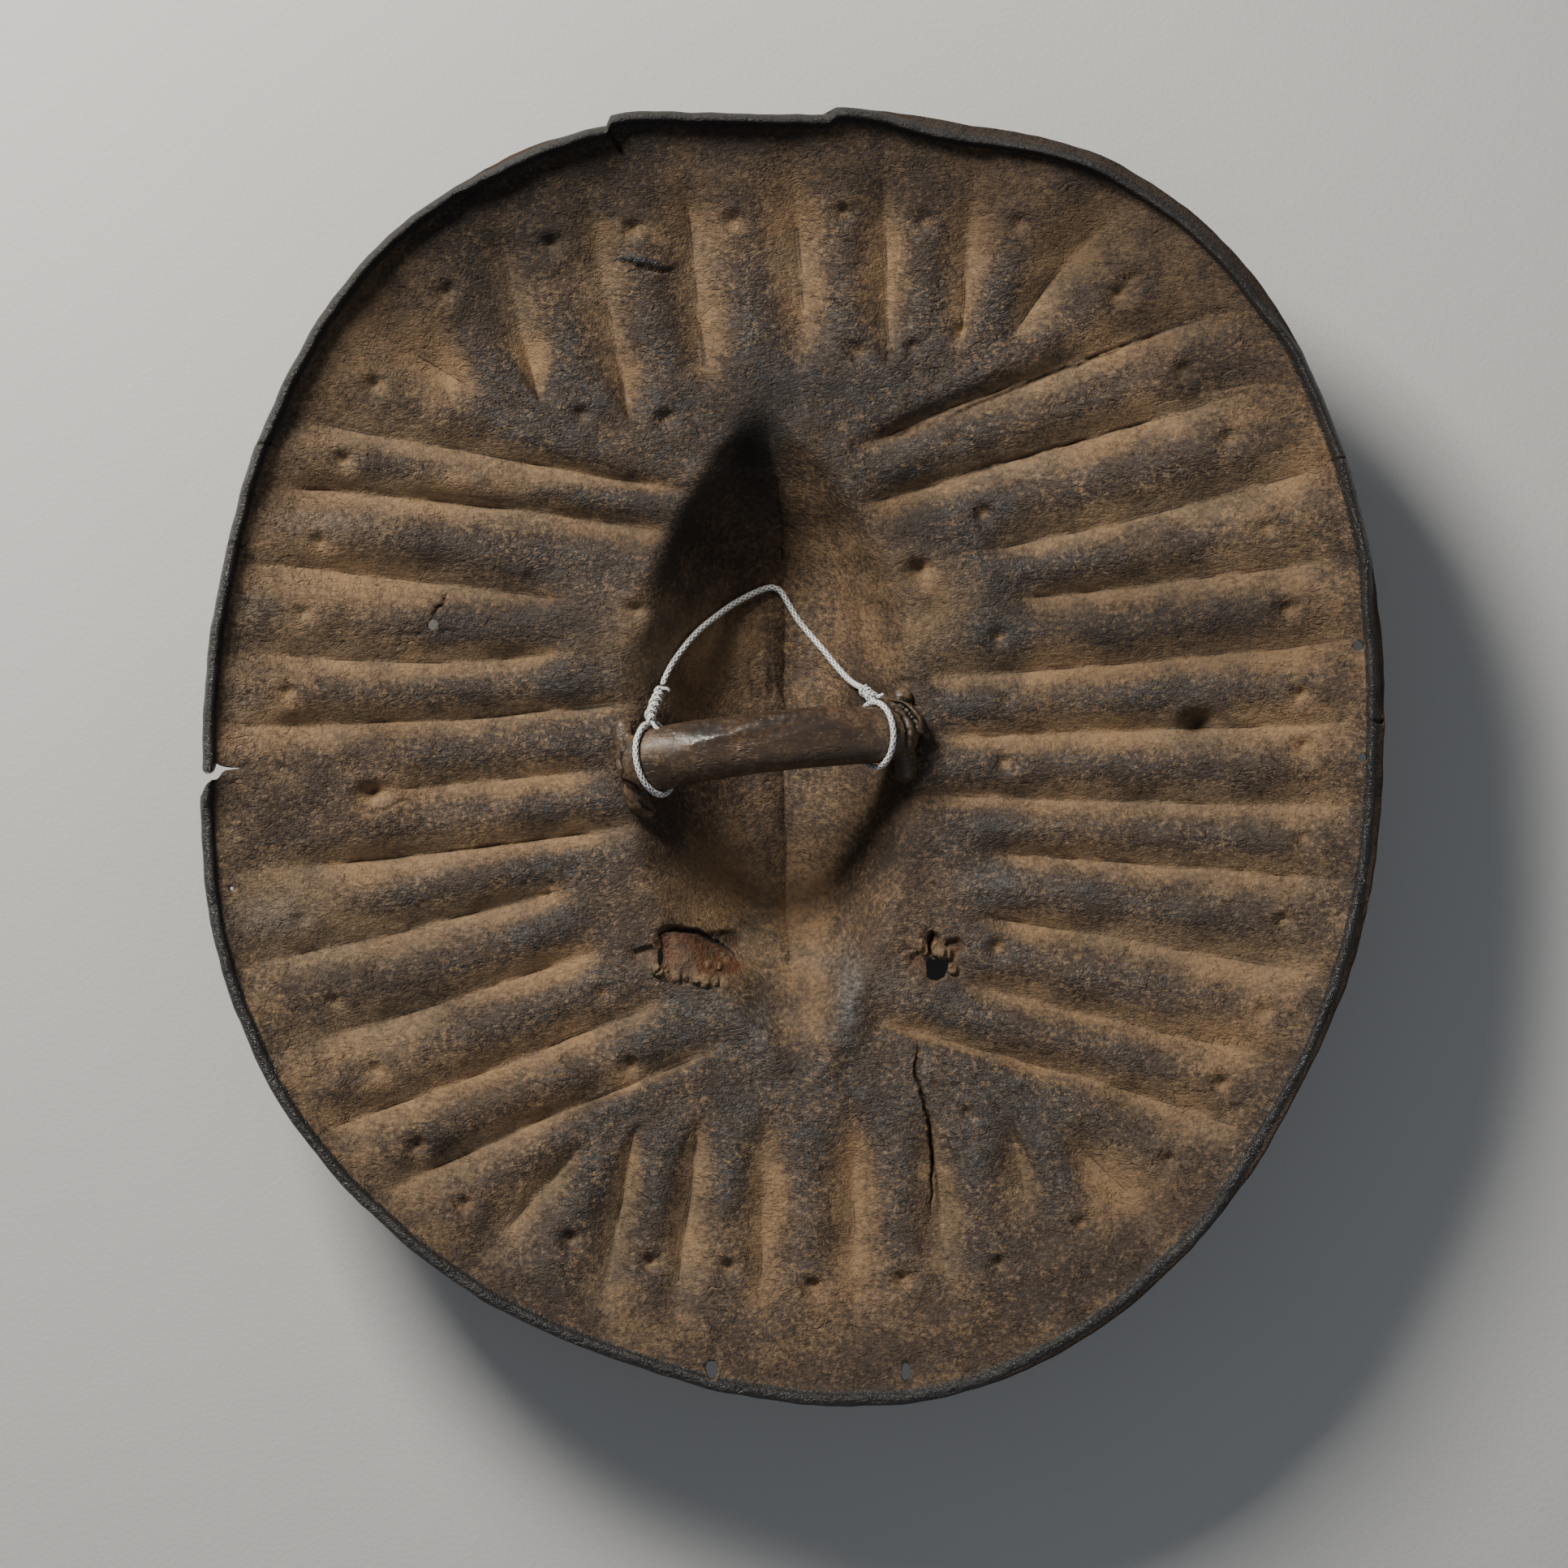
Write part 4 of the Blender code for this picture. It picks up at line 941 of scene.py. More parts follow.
def rim_outset(place):
    """How far the torn and worn rim stands outside the smooth outline."""
    out = unevenness(place, RIM_WEAR)
    angle = np.arctan2(place[:, 1], place[:, 0])
    for x, y, step, fade in RIM_STEPS:
        start = on_shield(x, y)
        behind = np.arctan2(start[1], start[0]) - angle
        along = behind * np.hypot(*start)
        out = out + step * (along > 0) * (1 - smooth_step(along / fade)) * (along < fade)
    return out


def cut_edge_width(place):
    """How wide the hide's cut edge shows outside the bead."""
    angle = np.degrees(np.arctan2(place[:, 1], place[:, 0]))
    width = np.zeros(len(place))
    for start, end, most in CUT_EDGES:
        width += most * smooth_step((angle - start) / 7) * smooth_step((end - angle) / 7)
    return width


class Pads:
    """The lines of the grid: one column of points runs along each groove, from rim to keel."""

    def __init__(self):
        self.count = len(GROOVES)
        self.paths, self.ends, angles = [], [], []
        for index, (outer_x, outer_y, inner_x, inner_y, bow) in enumerate(GROOVES):
            outer, inner = on_shield(outer_x, outer_y), on_shield(inner_x, inner_y)
            angles.append(rim_angle_beyond(inner, outer))
            keel = keel_point(min(index, self.count - index) / (self.count // 2))
            aside = across(outer, inner) * picture_length(bow)
            shares = np.linspace(0, 1, 7)[:, None]
            groove = outer + (inner - outer) * shares + aside * 4 * shares * (1 - shares)
            reach = np.linalg.norm(inner - keel)
            foot = keel + (inner - keel) / reach * min(REST_HALF_WIDTH, 0.4 * reach)
            self.paths.append(np.vstack([rim_points([angles[-1]]), groove, [foot]]))
            self.ends.append(lengths_of(self.paths[-1])[[1, -2]])
        self.rim_angles = np.unwrap(angles)

    def groove_depth(self, index, distance):
        start, end = self.ends[index]
        grown = smooth_step((distance - start) / GROOVE_GROWTH)
        depth = GROOVE_DEPTH_AT_RIM + (GROOVE_DEPTH - GROOVE_DEPTH_AT_RIM) * grown
        opening = smooth_step((distance - start + GROOVE_OPENING) / GROOVE_OPENING)
        fade = 1 - smooth_step((distance - end) / GROOVE_FADE + 0.7)
        uneven = 1 + 0.30 * noise.noise(Vector((distance / 0.045, index * 5.3, 4.5)))
        return depth * opening * fade * uneven

    def groove_place(self, index, distance):
        """A point of a groove's line, which wavers a little."""
        path, (start, end) = self.paths[index], self.ends[index]
        place = [np.interp(distance, lengths_of(path), path[:, axis]) for axis in (0, 1)]
        middle = smooth_step((distance - start) / 0.03) * smooth_step((end - distance) / 0.03)
        shift = 0.0008 * noise.noise(Vector((distance / 0.024, index * 7.7, 0.5)))
        shift += 0.0003 * noise.noise(Vector((distance / 0.007, index * 3.1, 9.5)))
        return place + across(path[1], path[-2]) * shift * middle

    def row(self, inset, share, columns):
        """One ring round the shield: its places, and how deep the grooves are there."""
        lengths = [inset + (lengths_of(path)[-1] - inset) * share for path in self.paths]
        feet = np.array([self.groove_place(*row) for row in enumerate(lengths)])
        depths = np.array([self.groove_depth(*row) for row in enumerate(lengths)])
        next_feet, next_depths = np.roll(feet, -1, axis=0), np.roll(depths, -1)
        places, reliefs = [], []
        for index in range(self.count):
            place = feet[index] + (next_feet[index] - feet[index]) * columns[:, None]
            places.append(place + self.rim_bulge(index, columns) * (1 - share) ** 2)
            relief = depths[index] * crease(columns) + next_depths[index] * crease(1 - columns)
            reliefs.append(relief)
        return np.vstack(places), np.concatenate(reliefs)

    def rim_bulge(self, index, columns):
        """How far the rounded rim lies outside the straight line between two columns."""
        here = self.rim_angles[index]
        there = self.rim_angles[(index + 1) % self.count]
        if index + 1 == self.count:
            there -= 2 * math.pi
        start, end = rim_points([here, there])
        curve = rim_points(here + (there - here) * columns)
        return curve - (start + (end - start) * columns[:, None])


def across(start, end):
    """The unit direction to the left of the way from start to end, in plan."""
    way = (end - start) / np.linalg.norm(end - start)
    return np.array([-way[1], way[0]])


def outwards(place):
    """Unit directions out from the middle of the shield."""
    return place / np.linalg.norm(place, axis=1)[:, None]


def bead_rings(pads, columns):
    """Rings of the rim's bead: the cut edge, the curled bead and the hide just inside it."""
    place, _ = pads.row(0.0, 0.0, columns)
    inward, inner_relief = pads.row(BEAD_WIDTH, 0.0, columns)
    edge, outset = cut_edge_width(place), rim_outset(place)
    lip = lip_height(place) * bead_wear(place)
    rings = []
    for step, (inset, rise) in enumerate(BEAD_SECTION):
        pushed = smooth_step(inset / 0.0008) * (1 - smooth_step((inset - 0.004) / 0.0095))
        share = (inset + edge * pushed) / BEAD_WIDTH
        fade = 1 - smooth_step((share - 0.3) / 0.7)
        ring = place + (inward - place) * share[:, None]
        ring = ring + outwards(place) * (outset * fade)[:, None]
        on_edge = (edge > 0.0005) * (step < 2)
        height = base_height(*ring.T) - inner_relief * smooth_step(share)
        height += lip * rise * np.where(on_edge, 0.35, 1.0)
        bead = np.full(len(ring), 1.0 - smooth_step((inset - 0.0062) / 0.0026))
        rings.append((np.column_stack([ring, height]), {"bead": bead, "cut": on_edge * 1.0}))
    return rings


def bead_wear(place):
    """The bead's height varies a little round the rim."""
    return 1 + unevenness(place, BEAD_WEAR)


def inner_rows(columns, counts):
    """Inset, share of the way in and columns of the rows from the dimples to the keel's foot."""
    outer = [(DIMPLE_INSET, share, columns) for share in np.linspace(0, HOLLOW_FROM, counts[0] + 1)]
    shares = np.linspace(HOLLOW_FROM, 1, counts[1] + 1)[1:]
    return outer + [(DIMPLE_INSET, share, columns[::2]) for share in shares]


def grip_side_rings(pads):
    """Rings of the grip side, from the rim in to the foot of the keel, and their masks."""
    columns = pad_columns(PAD_COLUMN_COUNT)
    rings = bead_rings(pads, columns)
    rows = [(inset, 0.0, columns) for inset in BAND_INSETS]
    for inset, share, row_columns in rows + inner_rows(columns, ROW_COUNTS):
        place, relief = pads.row(inset, share, row_columns)
        groove = relief / GROOVE_DEPTH
        broken = np.clip(0.60 + 1.5 * rough(place, 0.014, 31), 0.0, 1.0)
        crease_line = np.zeros(len(place))
        crease_line[:: len(row_columns)] = 1.0
        crease_line *= broken * np.clip(groove * 1.6, 0, 1)
        height = base_height(*place.T) + keel_fold(*place.T) - relief - CREASE_DEPTH * crease_line
        rings.append((np.column_stack([place, height]), {"groove": groove, "crease": crease_line}))
    return rings


def front_rings(pads):
    """Rings of the front, from the rim in to the foot of the keel."""
    columns = pad_columns(FRONT_PAD_COLUMN_COUNT)
    rings = []
    place, _ = pads.row(0.0, 0.0, columns)
    inward, inner_relief = pads.row(BEAD_WIDTH, 0.0, columns)
    for inset, drop in EDGE_SECTION:
        share = inset / BEAD_WIDTH
        ring = place + (inward - place) * share
        ring = ring + outwards(place) * (rim_outset(place) * (1 - share))[:, None]
        height = base_height(*ring.T) - inner_relief * share * FRONT_RIDGE_SHARE
        rings.append(np.column_stack([ring, height - HIDE_THICKNESS * drop]))
    for inset, share, row_columns in inner_rows(columns, FRONT_ROW_COUNTS):
        place, relief = pads.row(inset, share, row_columns)
        height = base_height(*place.T) - relief * FRONT_RIDGE_SHARE - wall_drop(*place.T)
        rings.append(np.column_stack([place, np.maximum(height, 0.0)]))
    return rings


def keel_ring(count, front):
    """The keel's own points, from its top end to its bottom end."""
    place = np.array([keel_point(step / count) for step in range(count + 1)])
    height = base_height(*place.T)
    if front:
        height = np.maximum(height - wall_drop(*place.T), 0.0)
    return np.column_stack([place, height])


def towards_keel(ring, keel, share):
    """A ring between the foot of the keel and the keel itself."""
    count = len(ring)
    ends = np.array([keel[min(index, count - index), :2] for index in range(count)])
    place = ring[:, :2] + (ends - ring[:, :2]) * share
    return np.column_stack([place, base_height(*place.T) + keel_fold(*place.T)])


def join_rings(mesh, outer, inner):
    """Faces between two rings whose numbers of points are in a whole ratio."""
    count, ratio = len(outer), len(outer) // len(inner)
    for i in range(count):
        here, there = inner[i // ratio], inner[-(-(i + 1) // ratio) % len(inner)]
        last = (there, here) if ratio == 1 or i % ratio and here is not there else (here,)
        mesh.faces.new((outer[i], outer[(i + 1) % count], *last))


def join_side(mesh, rings):
    """Faces of one side, from its first ring to the keel, whose points serve both sides of it."""
    *rings, keel = rings
    for outer, inner in zip(rings, rings[1:]):
        join_rings(mesh, outer, inner)
    foot, count = rings[-1], len(rings[-1])
    for i in range(count):
        j = (i + 1) % count
        here, there = keel[min(i, count - i)], keel[min(j, count - j)]
        mesh.faces.new((foot[i], foot[j], there, here))


def hide_grid(pads):
    """The hide's closed mesh, before its fine detail."""
    mesh = bmesh.new()
    layers = {name: mesh.verts.layers.float.new(name) for name in GRID_MASKS}
    rings = grip_side_rings(pads)
    foot = rings[-1][0]
    keel = keel_ring(len(foot) // 2, False)
    rings += [(towards_keel(foot, keel, share), {}) for share in KEEL_FOOT_SHARES] + [(keel, {})]
    upper = []
    for ring, masks in rings:
        upper.append([mesh.verts.new(point) for point in ring])
        for name, values in {"grip_side": np.ones(len(ring)), **masks}.items():
            for vert, value in zip(upper[-1], values):
                vert[layers[name]] = value
    rings = front_rings(pads)
    rings.append(keel_ring(len(rings[-1]) // 2, True))
    lower = [[mesh.verts.new(point) for point in ring] for ring in rings]
    join_side(mesh, upper)
    join_edge(mesh, upper[0], lower[0])
    join_side(mesh, lower)
    bmesh.ops.recalc_face_normals(mesh, faces=mesh.faces)
    return mesh


def join_edge(mesh, fine, coarse):
    """Faces between the rim's two rings, which share the grooves' columns and no others."""
    per_fine, per_coarse = PAD_COLUMN_COUNT, FRONT_PAD_COLUMN_COUNT
    fine_places, coarse_places = ([*pad_columns(count), 1.0] for count in (per_fine, per_coarse))
    for pad in range(len(GROOVES)):
        i, j = 0, 0
        while i < per_fine or j < per_coarse:
            corners = [fine[(pad * per_fine + i) % len(fine)]]
            corners.append(coarse[(pad * per_coarse + j) % len(coarse)])
            if j == per_coarse or i < per_fine and fine_places[i + 1] <= coarse_places[j + 1]:
                i += 1
                corners.insert(1, fine[(pad * per_fine + i) % len(fine)])
            else:
                j += 1
                corners.insert(1, coarse[(pad * per_coarse + j) % len(coarse)])
            mesh.faces.new(corners)


# The hide's fine detail


def crack_points(line):
    """A crack's jagged line, as points under a millimetre apart."""
    path = evenly(smooth_path([on_shield(x, y) for x, y in line], 6), 0.0007)
    for size, wavelength, seed in CRACK_JAGS:
        aside = [rough(path, wavelength, seed + axis) for axis in (0, 1)]
        path = path + size * np.column_stack(aside)
    return path


def tree_of(points):
    tree = kdtree.KDTree(len(points))
    for index, point in enumerate(points):
        tree.insert((*point[:2], 0.0), index)
    tree.balance()
    return tree


def nearness(points, line, reach):
    """1 on a jagged line of the picture, falling to 0 at the reach and towards its ends."""
    places = crack_points(line)
    tree = tree_of(places)
    found = np.zeros(len(points))
    low, high = places.min(axis=0) - reach, places.max(axis=0) + reach
    inside = np.all((points[:, :2] > low) & (points[:, :2] < high), axis=1)
    for index in np.flatnonzero(inside):
        _, nearest, away = tree.find((*points[index, :2], 0.0))
        taper = math.sin(math.pi * (nearest + 0.5) / len(places)) ** 0.5
        found[index] = taper * max(0.0, 1 - away / (reach * (0.3 + 0.7 * taper)))
    return found


def refine(mesh, places, reach):
    """Divides the faces of the grip side that lie within reach of these places."""
    side = mesh.verts.layers.float["grip_side"]
    tree = tree_of(places)
    edges = set()
    for face in mesh.faces:
        if face.verts[0][side] < 0.5:
            continue
        middle = face.calc_center_median()
        if tree.find((middle.x, middle.y, 0.0))[2] < reach:
            edges.update(face.edges)
    bmesh.ops.subdivide_edges(mesh, edges=list(edges), cuts=1, use_grid_fill=True)


def refined_places():
    """Where the mesh is made finer: round dimples, along cracks and over the craters."""
    dimples = np.array([on_shield(x, y) for x, y, _ in DIMPLES])
    lines = [crack_points(line) for _, _, line in (*CRACKS, *RIDGES)]
    deep = [crack_points(line) for _, depth, line in CRACKS if depth >= DEEP_CRACK]
    floors = []
    for crater in CRATERS:
        middle = on_shield(*crater["middle"])
        reach = np.array([picture_length(pixels) for pixels in crater["reach"]])
        for angle in np.linspace(0, 2 * math.pi, 12, endpoint=False):
            for share in (0.0, 0.4, 0.8):
                floors.append(middle + reach * share * [math.cos(angle), math.sin(angle)])
    return dimples, np.vstack(lines), np.vstack(deep), np.array(floors)


def dimple_relief(points):
    relief = np.zeros(len(points))
    for x, y, strength in DIMPLES:
        middle = on_shield(x, y)
        radius = DIMPLE_RADIUS * (0.75 + 0.35 * strength)
        x_off, y_off = points[:, 0] - middle[0], points[:, 1] - middle[1] - 0.0012
        stretch = np.where(y_off > 0, 1.5, 0.80)
        away = np.hypot(x_off, y_off * stretch) / radius
        pit = np.exp(-1.5 * away**2) + 0.45 * np.exp(-9 * away**2)
        relief -= DIMPLE_DEPTH * strength * pit
        relief += DIMPLE_DEPTH * 0.20 * strength * np.exp(-3 * (away - 1.6) ** 2)
    return relief


def crater_share(points, crater):
    """1 in the middle of a crater, 0 at its wavy edge and beyond."""
    middle = on_shield(*crater["middle"])
    reach = [picture_length(pixels) for pixels in crater["reach"]]
    away_x = (points[:, 0] - middle[0]) / reach[0]
    away_y = (points[:, 1] - middle[1]) / reach[1]
    wavy = 0.18 * np.sin(np.arctan2(away_y, away_x) * 5 + 1.3)
    return 1 - np.clip(np.hypot(away_x, away_y) + wavy, 0, 1)


def detail_height(points, grip_side):
    """How far the fine relief moves each point up or down."""
    height = unevenness(points, HIDE_RELIEF)
    height += dimple_relief(points) * np.where(grip_side > 0.5, 1.0, 0.8)
    upper = np.zeros(len(points))
    for half_width, depth, line in CRACKS:
        near = nearness(points, line, picture_length(half_width) + 0.0008)
        upper -= depth * smooth_step(near * 1.4)
    for half_width, rise, line in RIDGES:
        near = nearness(points, line, picture_length(half_width) * 2)
        upper += rise * smooth_step(near)
    crumbs = np.abs(rough(points, 0.0042, 6)) + 0.5 * np.abs(rough(points, 0.0018, 7))
    y = picture_place(points[:, 0], points[:, 1])[1]
    for crater in CRATERS:
        inside = smooth_step(crater_share(points, crater) * 4.5)
        sunk = 1 - 0.75 * smooth_step((y - crater["middle"][1] + 26) / 62)
        upper -= crater["depth"] * inside * sunk
        upper += crater["crumbs"] * inside * crumbs * 2
    upper = np.maximum(upper, -DEEPEST_CRACK)
    for x, y, reach, rise in CRUMBS:
        upper += rise * crumb_share(points, x, y, reach)
    return height + upper * (grip_side > 0.5)


def crumb_share(points, x, y, reach):
    """A flat-topped crumb of hide: 1 on it and 0 beyond it."""
    middle, radius = on_shield(x, y), picture_length(reach)
    turned = points[:, :2] - middle
    away = (np.abs(turned[:, 0]) ** 3 + np.abs(turned[:, 1] * 0.85) ** 3) ** (1 / 3) / radius
    return smooth_step((1.25 - away) / 0.45)


def cutter(name, corners):
    """An upright prism through the hide with this outline."""
    points = [(*corner, z) for z in (-0.02, 0.16) for corner in corners]
    prism = mesh_object(name, points, tube_faces(2, len(corners)))
    face_outwards(prism.data)
    return prism


def round_corners(middle, half_width, half_height, wobble=0.0):
    """The outline of a round hole, slightly uneven by its wobble."""
    turns = np.linspace(0, 2 * math.pi, HOLE_SIDES, endpoint=False)
    uneven = 1 + wobble * np.sin(3 * turns + middle[0] * 900)
    reach = np.stack([half_width * np.cos(turns), half_height * np.sin(turns)], axis=1)
    return middle + uneven[:, None] * reach


def cut_holes(hide):
    outlines = [[on_shield(*corner) for corner in outline] for outline in (RIM_TEAR, TORN_HOLE)]
    for x, y, wide, high in HOLES:
        reach = picture_length(wide), picture_length(high)
        outlines.append(round_corners(on_shield(x, y), *reach, 0.06))
    radius = PEG_RADIUS + PEG_CLEARANCE
    outlines += [round_corners(on_shield(*pixel), radius, radius) for pixel in PEGS]
    prisms = [cutter(f"hole_{index}", corners) for index, corners in enumerate(outlines)]
    for prism in prisms:
        modifier = hide.modifiers.new(prism.name, "BOOLEAN")
        modifier.operation = "DIFFERENCE"
        modifier.object = prism
        modifier.solver = "EXACT"
    apply_modifiers(hide)
    for prism in prisms:
        bpy.data.objects.remove(prism, do_unlink=True)


def paint_masks(data):
    """Where dust and painted light, patina, the bead's polish, raw hide and painted shade lie, for
    the hide's material.
    """
    points, normals = points_and_normals(data)
    groove, keep = mesh_mask(data, "groove"), mesh_mask(data, "grip_side") > 0.5
    x, y = picture_place(points[:, 0], points[:, 1])
    away = np.hypot(points[:, 0] * 2 / SHIELD_WIDTH, points[:, 1] * 2 / SHIELD_HEIGHT)
    sunk = plateau_height(*points.T[:2]) - base_height(*points.T[:2])
    pits = np.clip(-dimple_relief(points) / DIMPLE_DEPTH, 0, 1)
    broad = rough(points, 0.080, 11)
    near_rim = smooth_step((away - 0.86) / 0.12)
    # Dust in the grooves; in the dimples, dust and their painted highlight
    dust_and_light = 0.06 + 0.90 * np.clip(groove, 0, 1) ** 0.9 + 0.55 * pits + 0.30 * broad
    # Painted light: lighter towards the sides, most on the left
    side = smooth_step((np.abs(points[:, 0]) * 2 / SHIELD_WIDTH - 0.50) / 0.25)
    dust_and_light += 0.12 * np.clip(sunk / 0.03, 0, 1) + np.where(x < 900, 0.30, 0.08) * side
    dust_and_light += blots(x, y, DUST_AND_LIGHT_PLACES)
    crest = np.clip(1 - 2.6 * groove, 0, 1) * (1 - 0.75 * near_rim)
    middle_band = smooth_step((away - 0.30) / 0.18) * (1 - smooth_step((away - 0.70) / 0.24))
    patina = crest * (0.3 + 0.7 * middle_band) * (0.50 + 0.65 * rough(points, 0.045, 12))
    patina = patina * (1 - pits) + blots(x, y, PATINA_PLACES)
    patina += pad_end_patina(x, y) * np.clip(1 - 1.6 * groove, 0, 1) * (1 - pits)
    dust_and_light -= 0.45 * patina
    # Painted shade under the top rim's lip, and darker towards the bottom rim, with the shaded
    # patches
    top_rim = smooth_step((away - 0.80) / 0.13) * smooth_step((700 - y) / 450)
    low_rim = smooth_step((away - 0.82) / 0.14) * smooth_step((y - 1300) / 300)
    painted_shade = blots(x, y, SHADED_PLACES) + 0.55 * top_rim + 0.25 * low_rim
    # Painted shade inside the cracks
    for half_width, depth, line in CRACKS:
        near = nearness(points, line, picture_length(half_width) + 0.0004)
        painted_shade = np.maximum(painted_shade, min(0.9, depth / 0.0026) * smooth_step(near * 1.6))
    raw = np.zeros(len(points))
    for crater in CRATERS:
        share = crater_share(points, crater)
        inside = smooth_step(share * 3.5)
        raw = np.maximum(raw, 0.92 * inside)
        dust_and_light, patina = dust_and_light * (1 - inside), patina * (1 - inside)
        # Painted shade under each crater's upper edge
        below_edge = inside * (1 - smooth_step((share - 0.25) / 0.25))
        painted_shade = np.maximum(painted_shade, 0.5 * below_edge * smooth_step((crater["middle"][1] - 2 - y) / 16))
    for crumb in CRUMBS:
        on_crumb = crumb_share(points, *crumb[:3])
        raw *= 1 - 0.75 * on_crumb
        dust_and_light = np.maximum(dust_and_light, 0.75 * on_crumb)
    dust_and_light = np.where(np.abs(normals[:, 2]) < 0.35, dust_and_light * 0.6, dust_and_light)
    bead = mesh_mask(data, "bead")
    for half_width, line in POLISHED:
        near = nearness(points, line, picture_length(half_width) + 0.0006)
        bead = np.maximum(bead, smooth_step(near * 1.6) * keep)
    set_mask(data, "dust_and_light", np.where(keep, dust_and_light, 0.25 + 0.2 * broad))
    set_mask(data, "patina", np.where(keep, patina, 0.45 + 0.3 * broad))
    set_mask(data, "raw", raw * (0.5 + 0.5 * keep))
    set_mask(data, "painted_shade", painted_shade * keep)
    set_mask(data, "pale_wear_and_sheen", blots(x, y, PALE_WEAR_AND_SHEEN_PLACES) * keep)
    set_mask(data, "bead", bead)
    set_mask(data, "peel", 0.25 + 0.75 * smooth_step((away - 0.45) / 0.4))


def pad_end_patina(x, y):
    """Dark worn spots on the inner ends of the pads, where they bulge most."""
    found = np.zeros(len(x))
    for one, other in zip(GROOVES, GROOVES[1:] + GROOVES[:1]):
        outer_x, outer_y, inner_x, inner_y = (np.array(one) + other)[:4] / 2
        way = np.array([outer_x - inner_x, outer_y - inner_y])
        way /= np.linalg.norm(way)
        from_x, from_y = x - inner_x - way[0] * 38, y - inner_y - way[1] * 38
        along = from_x * way[0] + from_y * way[1]
        aside = from_x * way[1] - from_y * way[0]
        found = np.maximum(found, 0.85 * np.exp(-((along / 62) ** 2) - (aside / 30) ** 2))
    return found


def blots(x, y, places):
    """Soft spots on the picture: middle, reach and strength of each."""
    found = np.zeros(len(x))
    for middle_x, middle_y, reach_x, reach_y, amount in places:
        away_x, away_y = (x - middle_x) / reach_x, (y - middle_y) / reach_y
        found += amount * np.exp(-(away_x**2) - away_y**2)
    return found


def make_hide():
    pads = Pads()
    mesh = hide_grid(pads)
    dimples, lines, deep_lines, floors = refined_places()
    finer = ((dimples, 0.0055), (lines, 0.0030), (floors, 0.0060), (floors, 0.0055))
    for places, reach in (*finer, (deep_lines, 0.0016)):
        refine(mesh, places, reach)
    data = bpy.data.meshes.new("embossed_hide")
    mesh.to_mesh(data)
    mesh.free()
    hide = linked("embossed_hide", data)
    points = values_of(data.vertices, "co")
    points[:, 2] += detail_height(points, mesh_mask(data, "grip_side"))
    points[:, 2] = np.maximum(points[:, 2], 0.0)
    place_points(data, points)
    cut_holes(hide)
    paint_masks(hide.data)
    dress(hide, hide_paint(), "shield_hide")


# The grip


def frame_along(path, index):
    """The direction of a path at one of its points, with the directions beside and over it."""
    ahead = path[min(index + 1, len(path) - 1)][:3]
    behind = path[max(index - 1, 0)][:3]
    way = (ahead - behind) / np.linalg.norm(ahead - behind)
    aside = np.cross([0, 0, 1], way)
    aside /= np.linalg.norm(aside)
    return way, aside, np.cross(way, aside)


def grip_path(steps):
    """The grip's bar: rows of x, y, z, half width in plan and half height."""
    left, right = on_shield(*GRIP_LEFT), on_shield(*GRIP_RIGHT)
    seats = [height_at(end) + SEAT_HEIGHT for end in (left, right)]
    rows = []
    for share in np.linspace(0, 1, steps):
        arch = 4 * share * (1 - share)
        place = left + (right - left) * share
        place[1] += picture_length(GRIP_BOW) * arch
        height = seats[0] + (seats[1] - seats[0]) * share + GRIP_RISE * arch**0.7
        width = GRIP_WIDTH_LEFT + (GRIP_WIDTH_RIGHT - GRIP_WIDTH_LEFT) * share
        taper = 0.78 + 0.22 * smooth_step(arch * 2.5)
        rows.append((*place, height, width / 2 * taper, GRIP_DEPTH / 2 * taper))
    return np.array(rows)


def grip_end_path(rows):
    """A rolled end of the grip, which comes down from the bar to lie on the hide."""
    points = []
    for x, y, half_width, over, half_height in rows:
        place = on_shield(x, y)
        points.append((*place, height_at(place) + over, picture_length(half_width), half_height))
    return smooth_path(points, 6)


def rounded_bar(path, sides):
    """Points and faces of a bar with rounded ends along rows of place, half width and height."""
    caps = [(math.sin(math.pi / 2 * t), math.cos(math.pi / 2 * t)) for t in (0.85, 0.6, 0.3)]
    rings = [(0, -shift, shrink) for shift, shrink in caps]
    rings += [(index, 0.0, 1.0) for index in range(len(path))]
    rings += [(len(path) - 1, shift, shrink) for shift, shrink in reversed(caps)]
    points = []
    for index, shift, shrink in rings:
        half_width, half_height = path[index][3:]
        way, aside, up = frame_along(path, index)
        centre = path[index][:3] + way * shift * min(half_width, half_height)
        for turn in np.linspace(0, 2 * math.pi, sides, endpoint=False):
            reach = aside * half_width * math.cos(turn) + up * half_height * math.sin(turn)
            points.append(centre + reach * shrink)
    return points, tube_faces(len(rings), sides)


def peg(pixel):
    """An upright peg from inside the grip's end to just below the hide."""
    x, y = on_shield(*pixel)
    top = height_at((x, y)) + SEAT_HEIGHT * 0.6
    bottom = height_at((x, y)) - float(wall_drop(np.array(x), np.array(y))) - PEG_STICK_OUT
    points = []
    for step, z in enumerate(np.linspace(top, bottom, PEG_ROWS)):
        for turn in np.linspace(0, 2 * math.pi, PEG_SIDES, endpoint=False):
            reach = PEG_RADIUS * math.cos(turn), PEG_RADIUS * math.sin(turn)
            points.append((x + 1e-5 * step + reach[0], y + reach[1], z))
    return points, tube_faces(PEG_ROWS, PEG_SIDES)


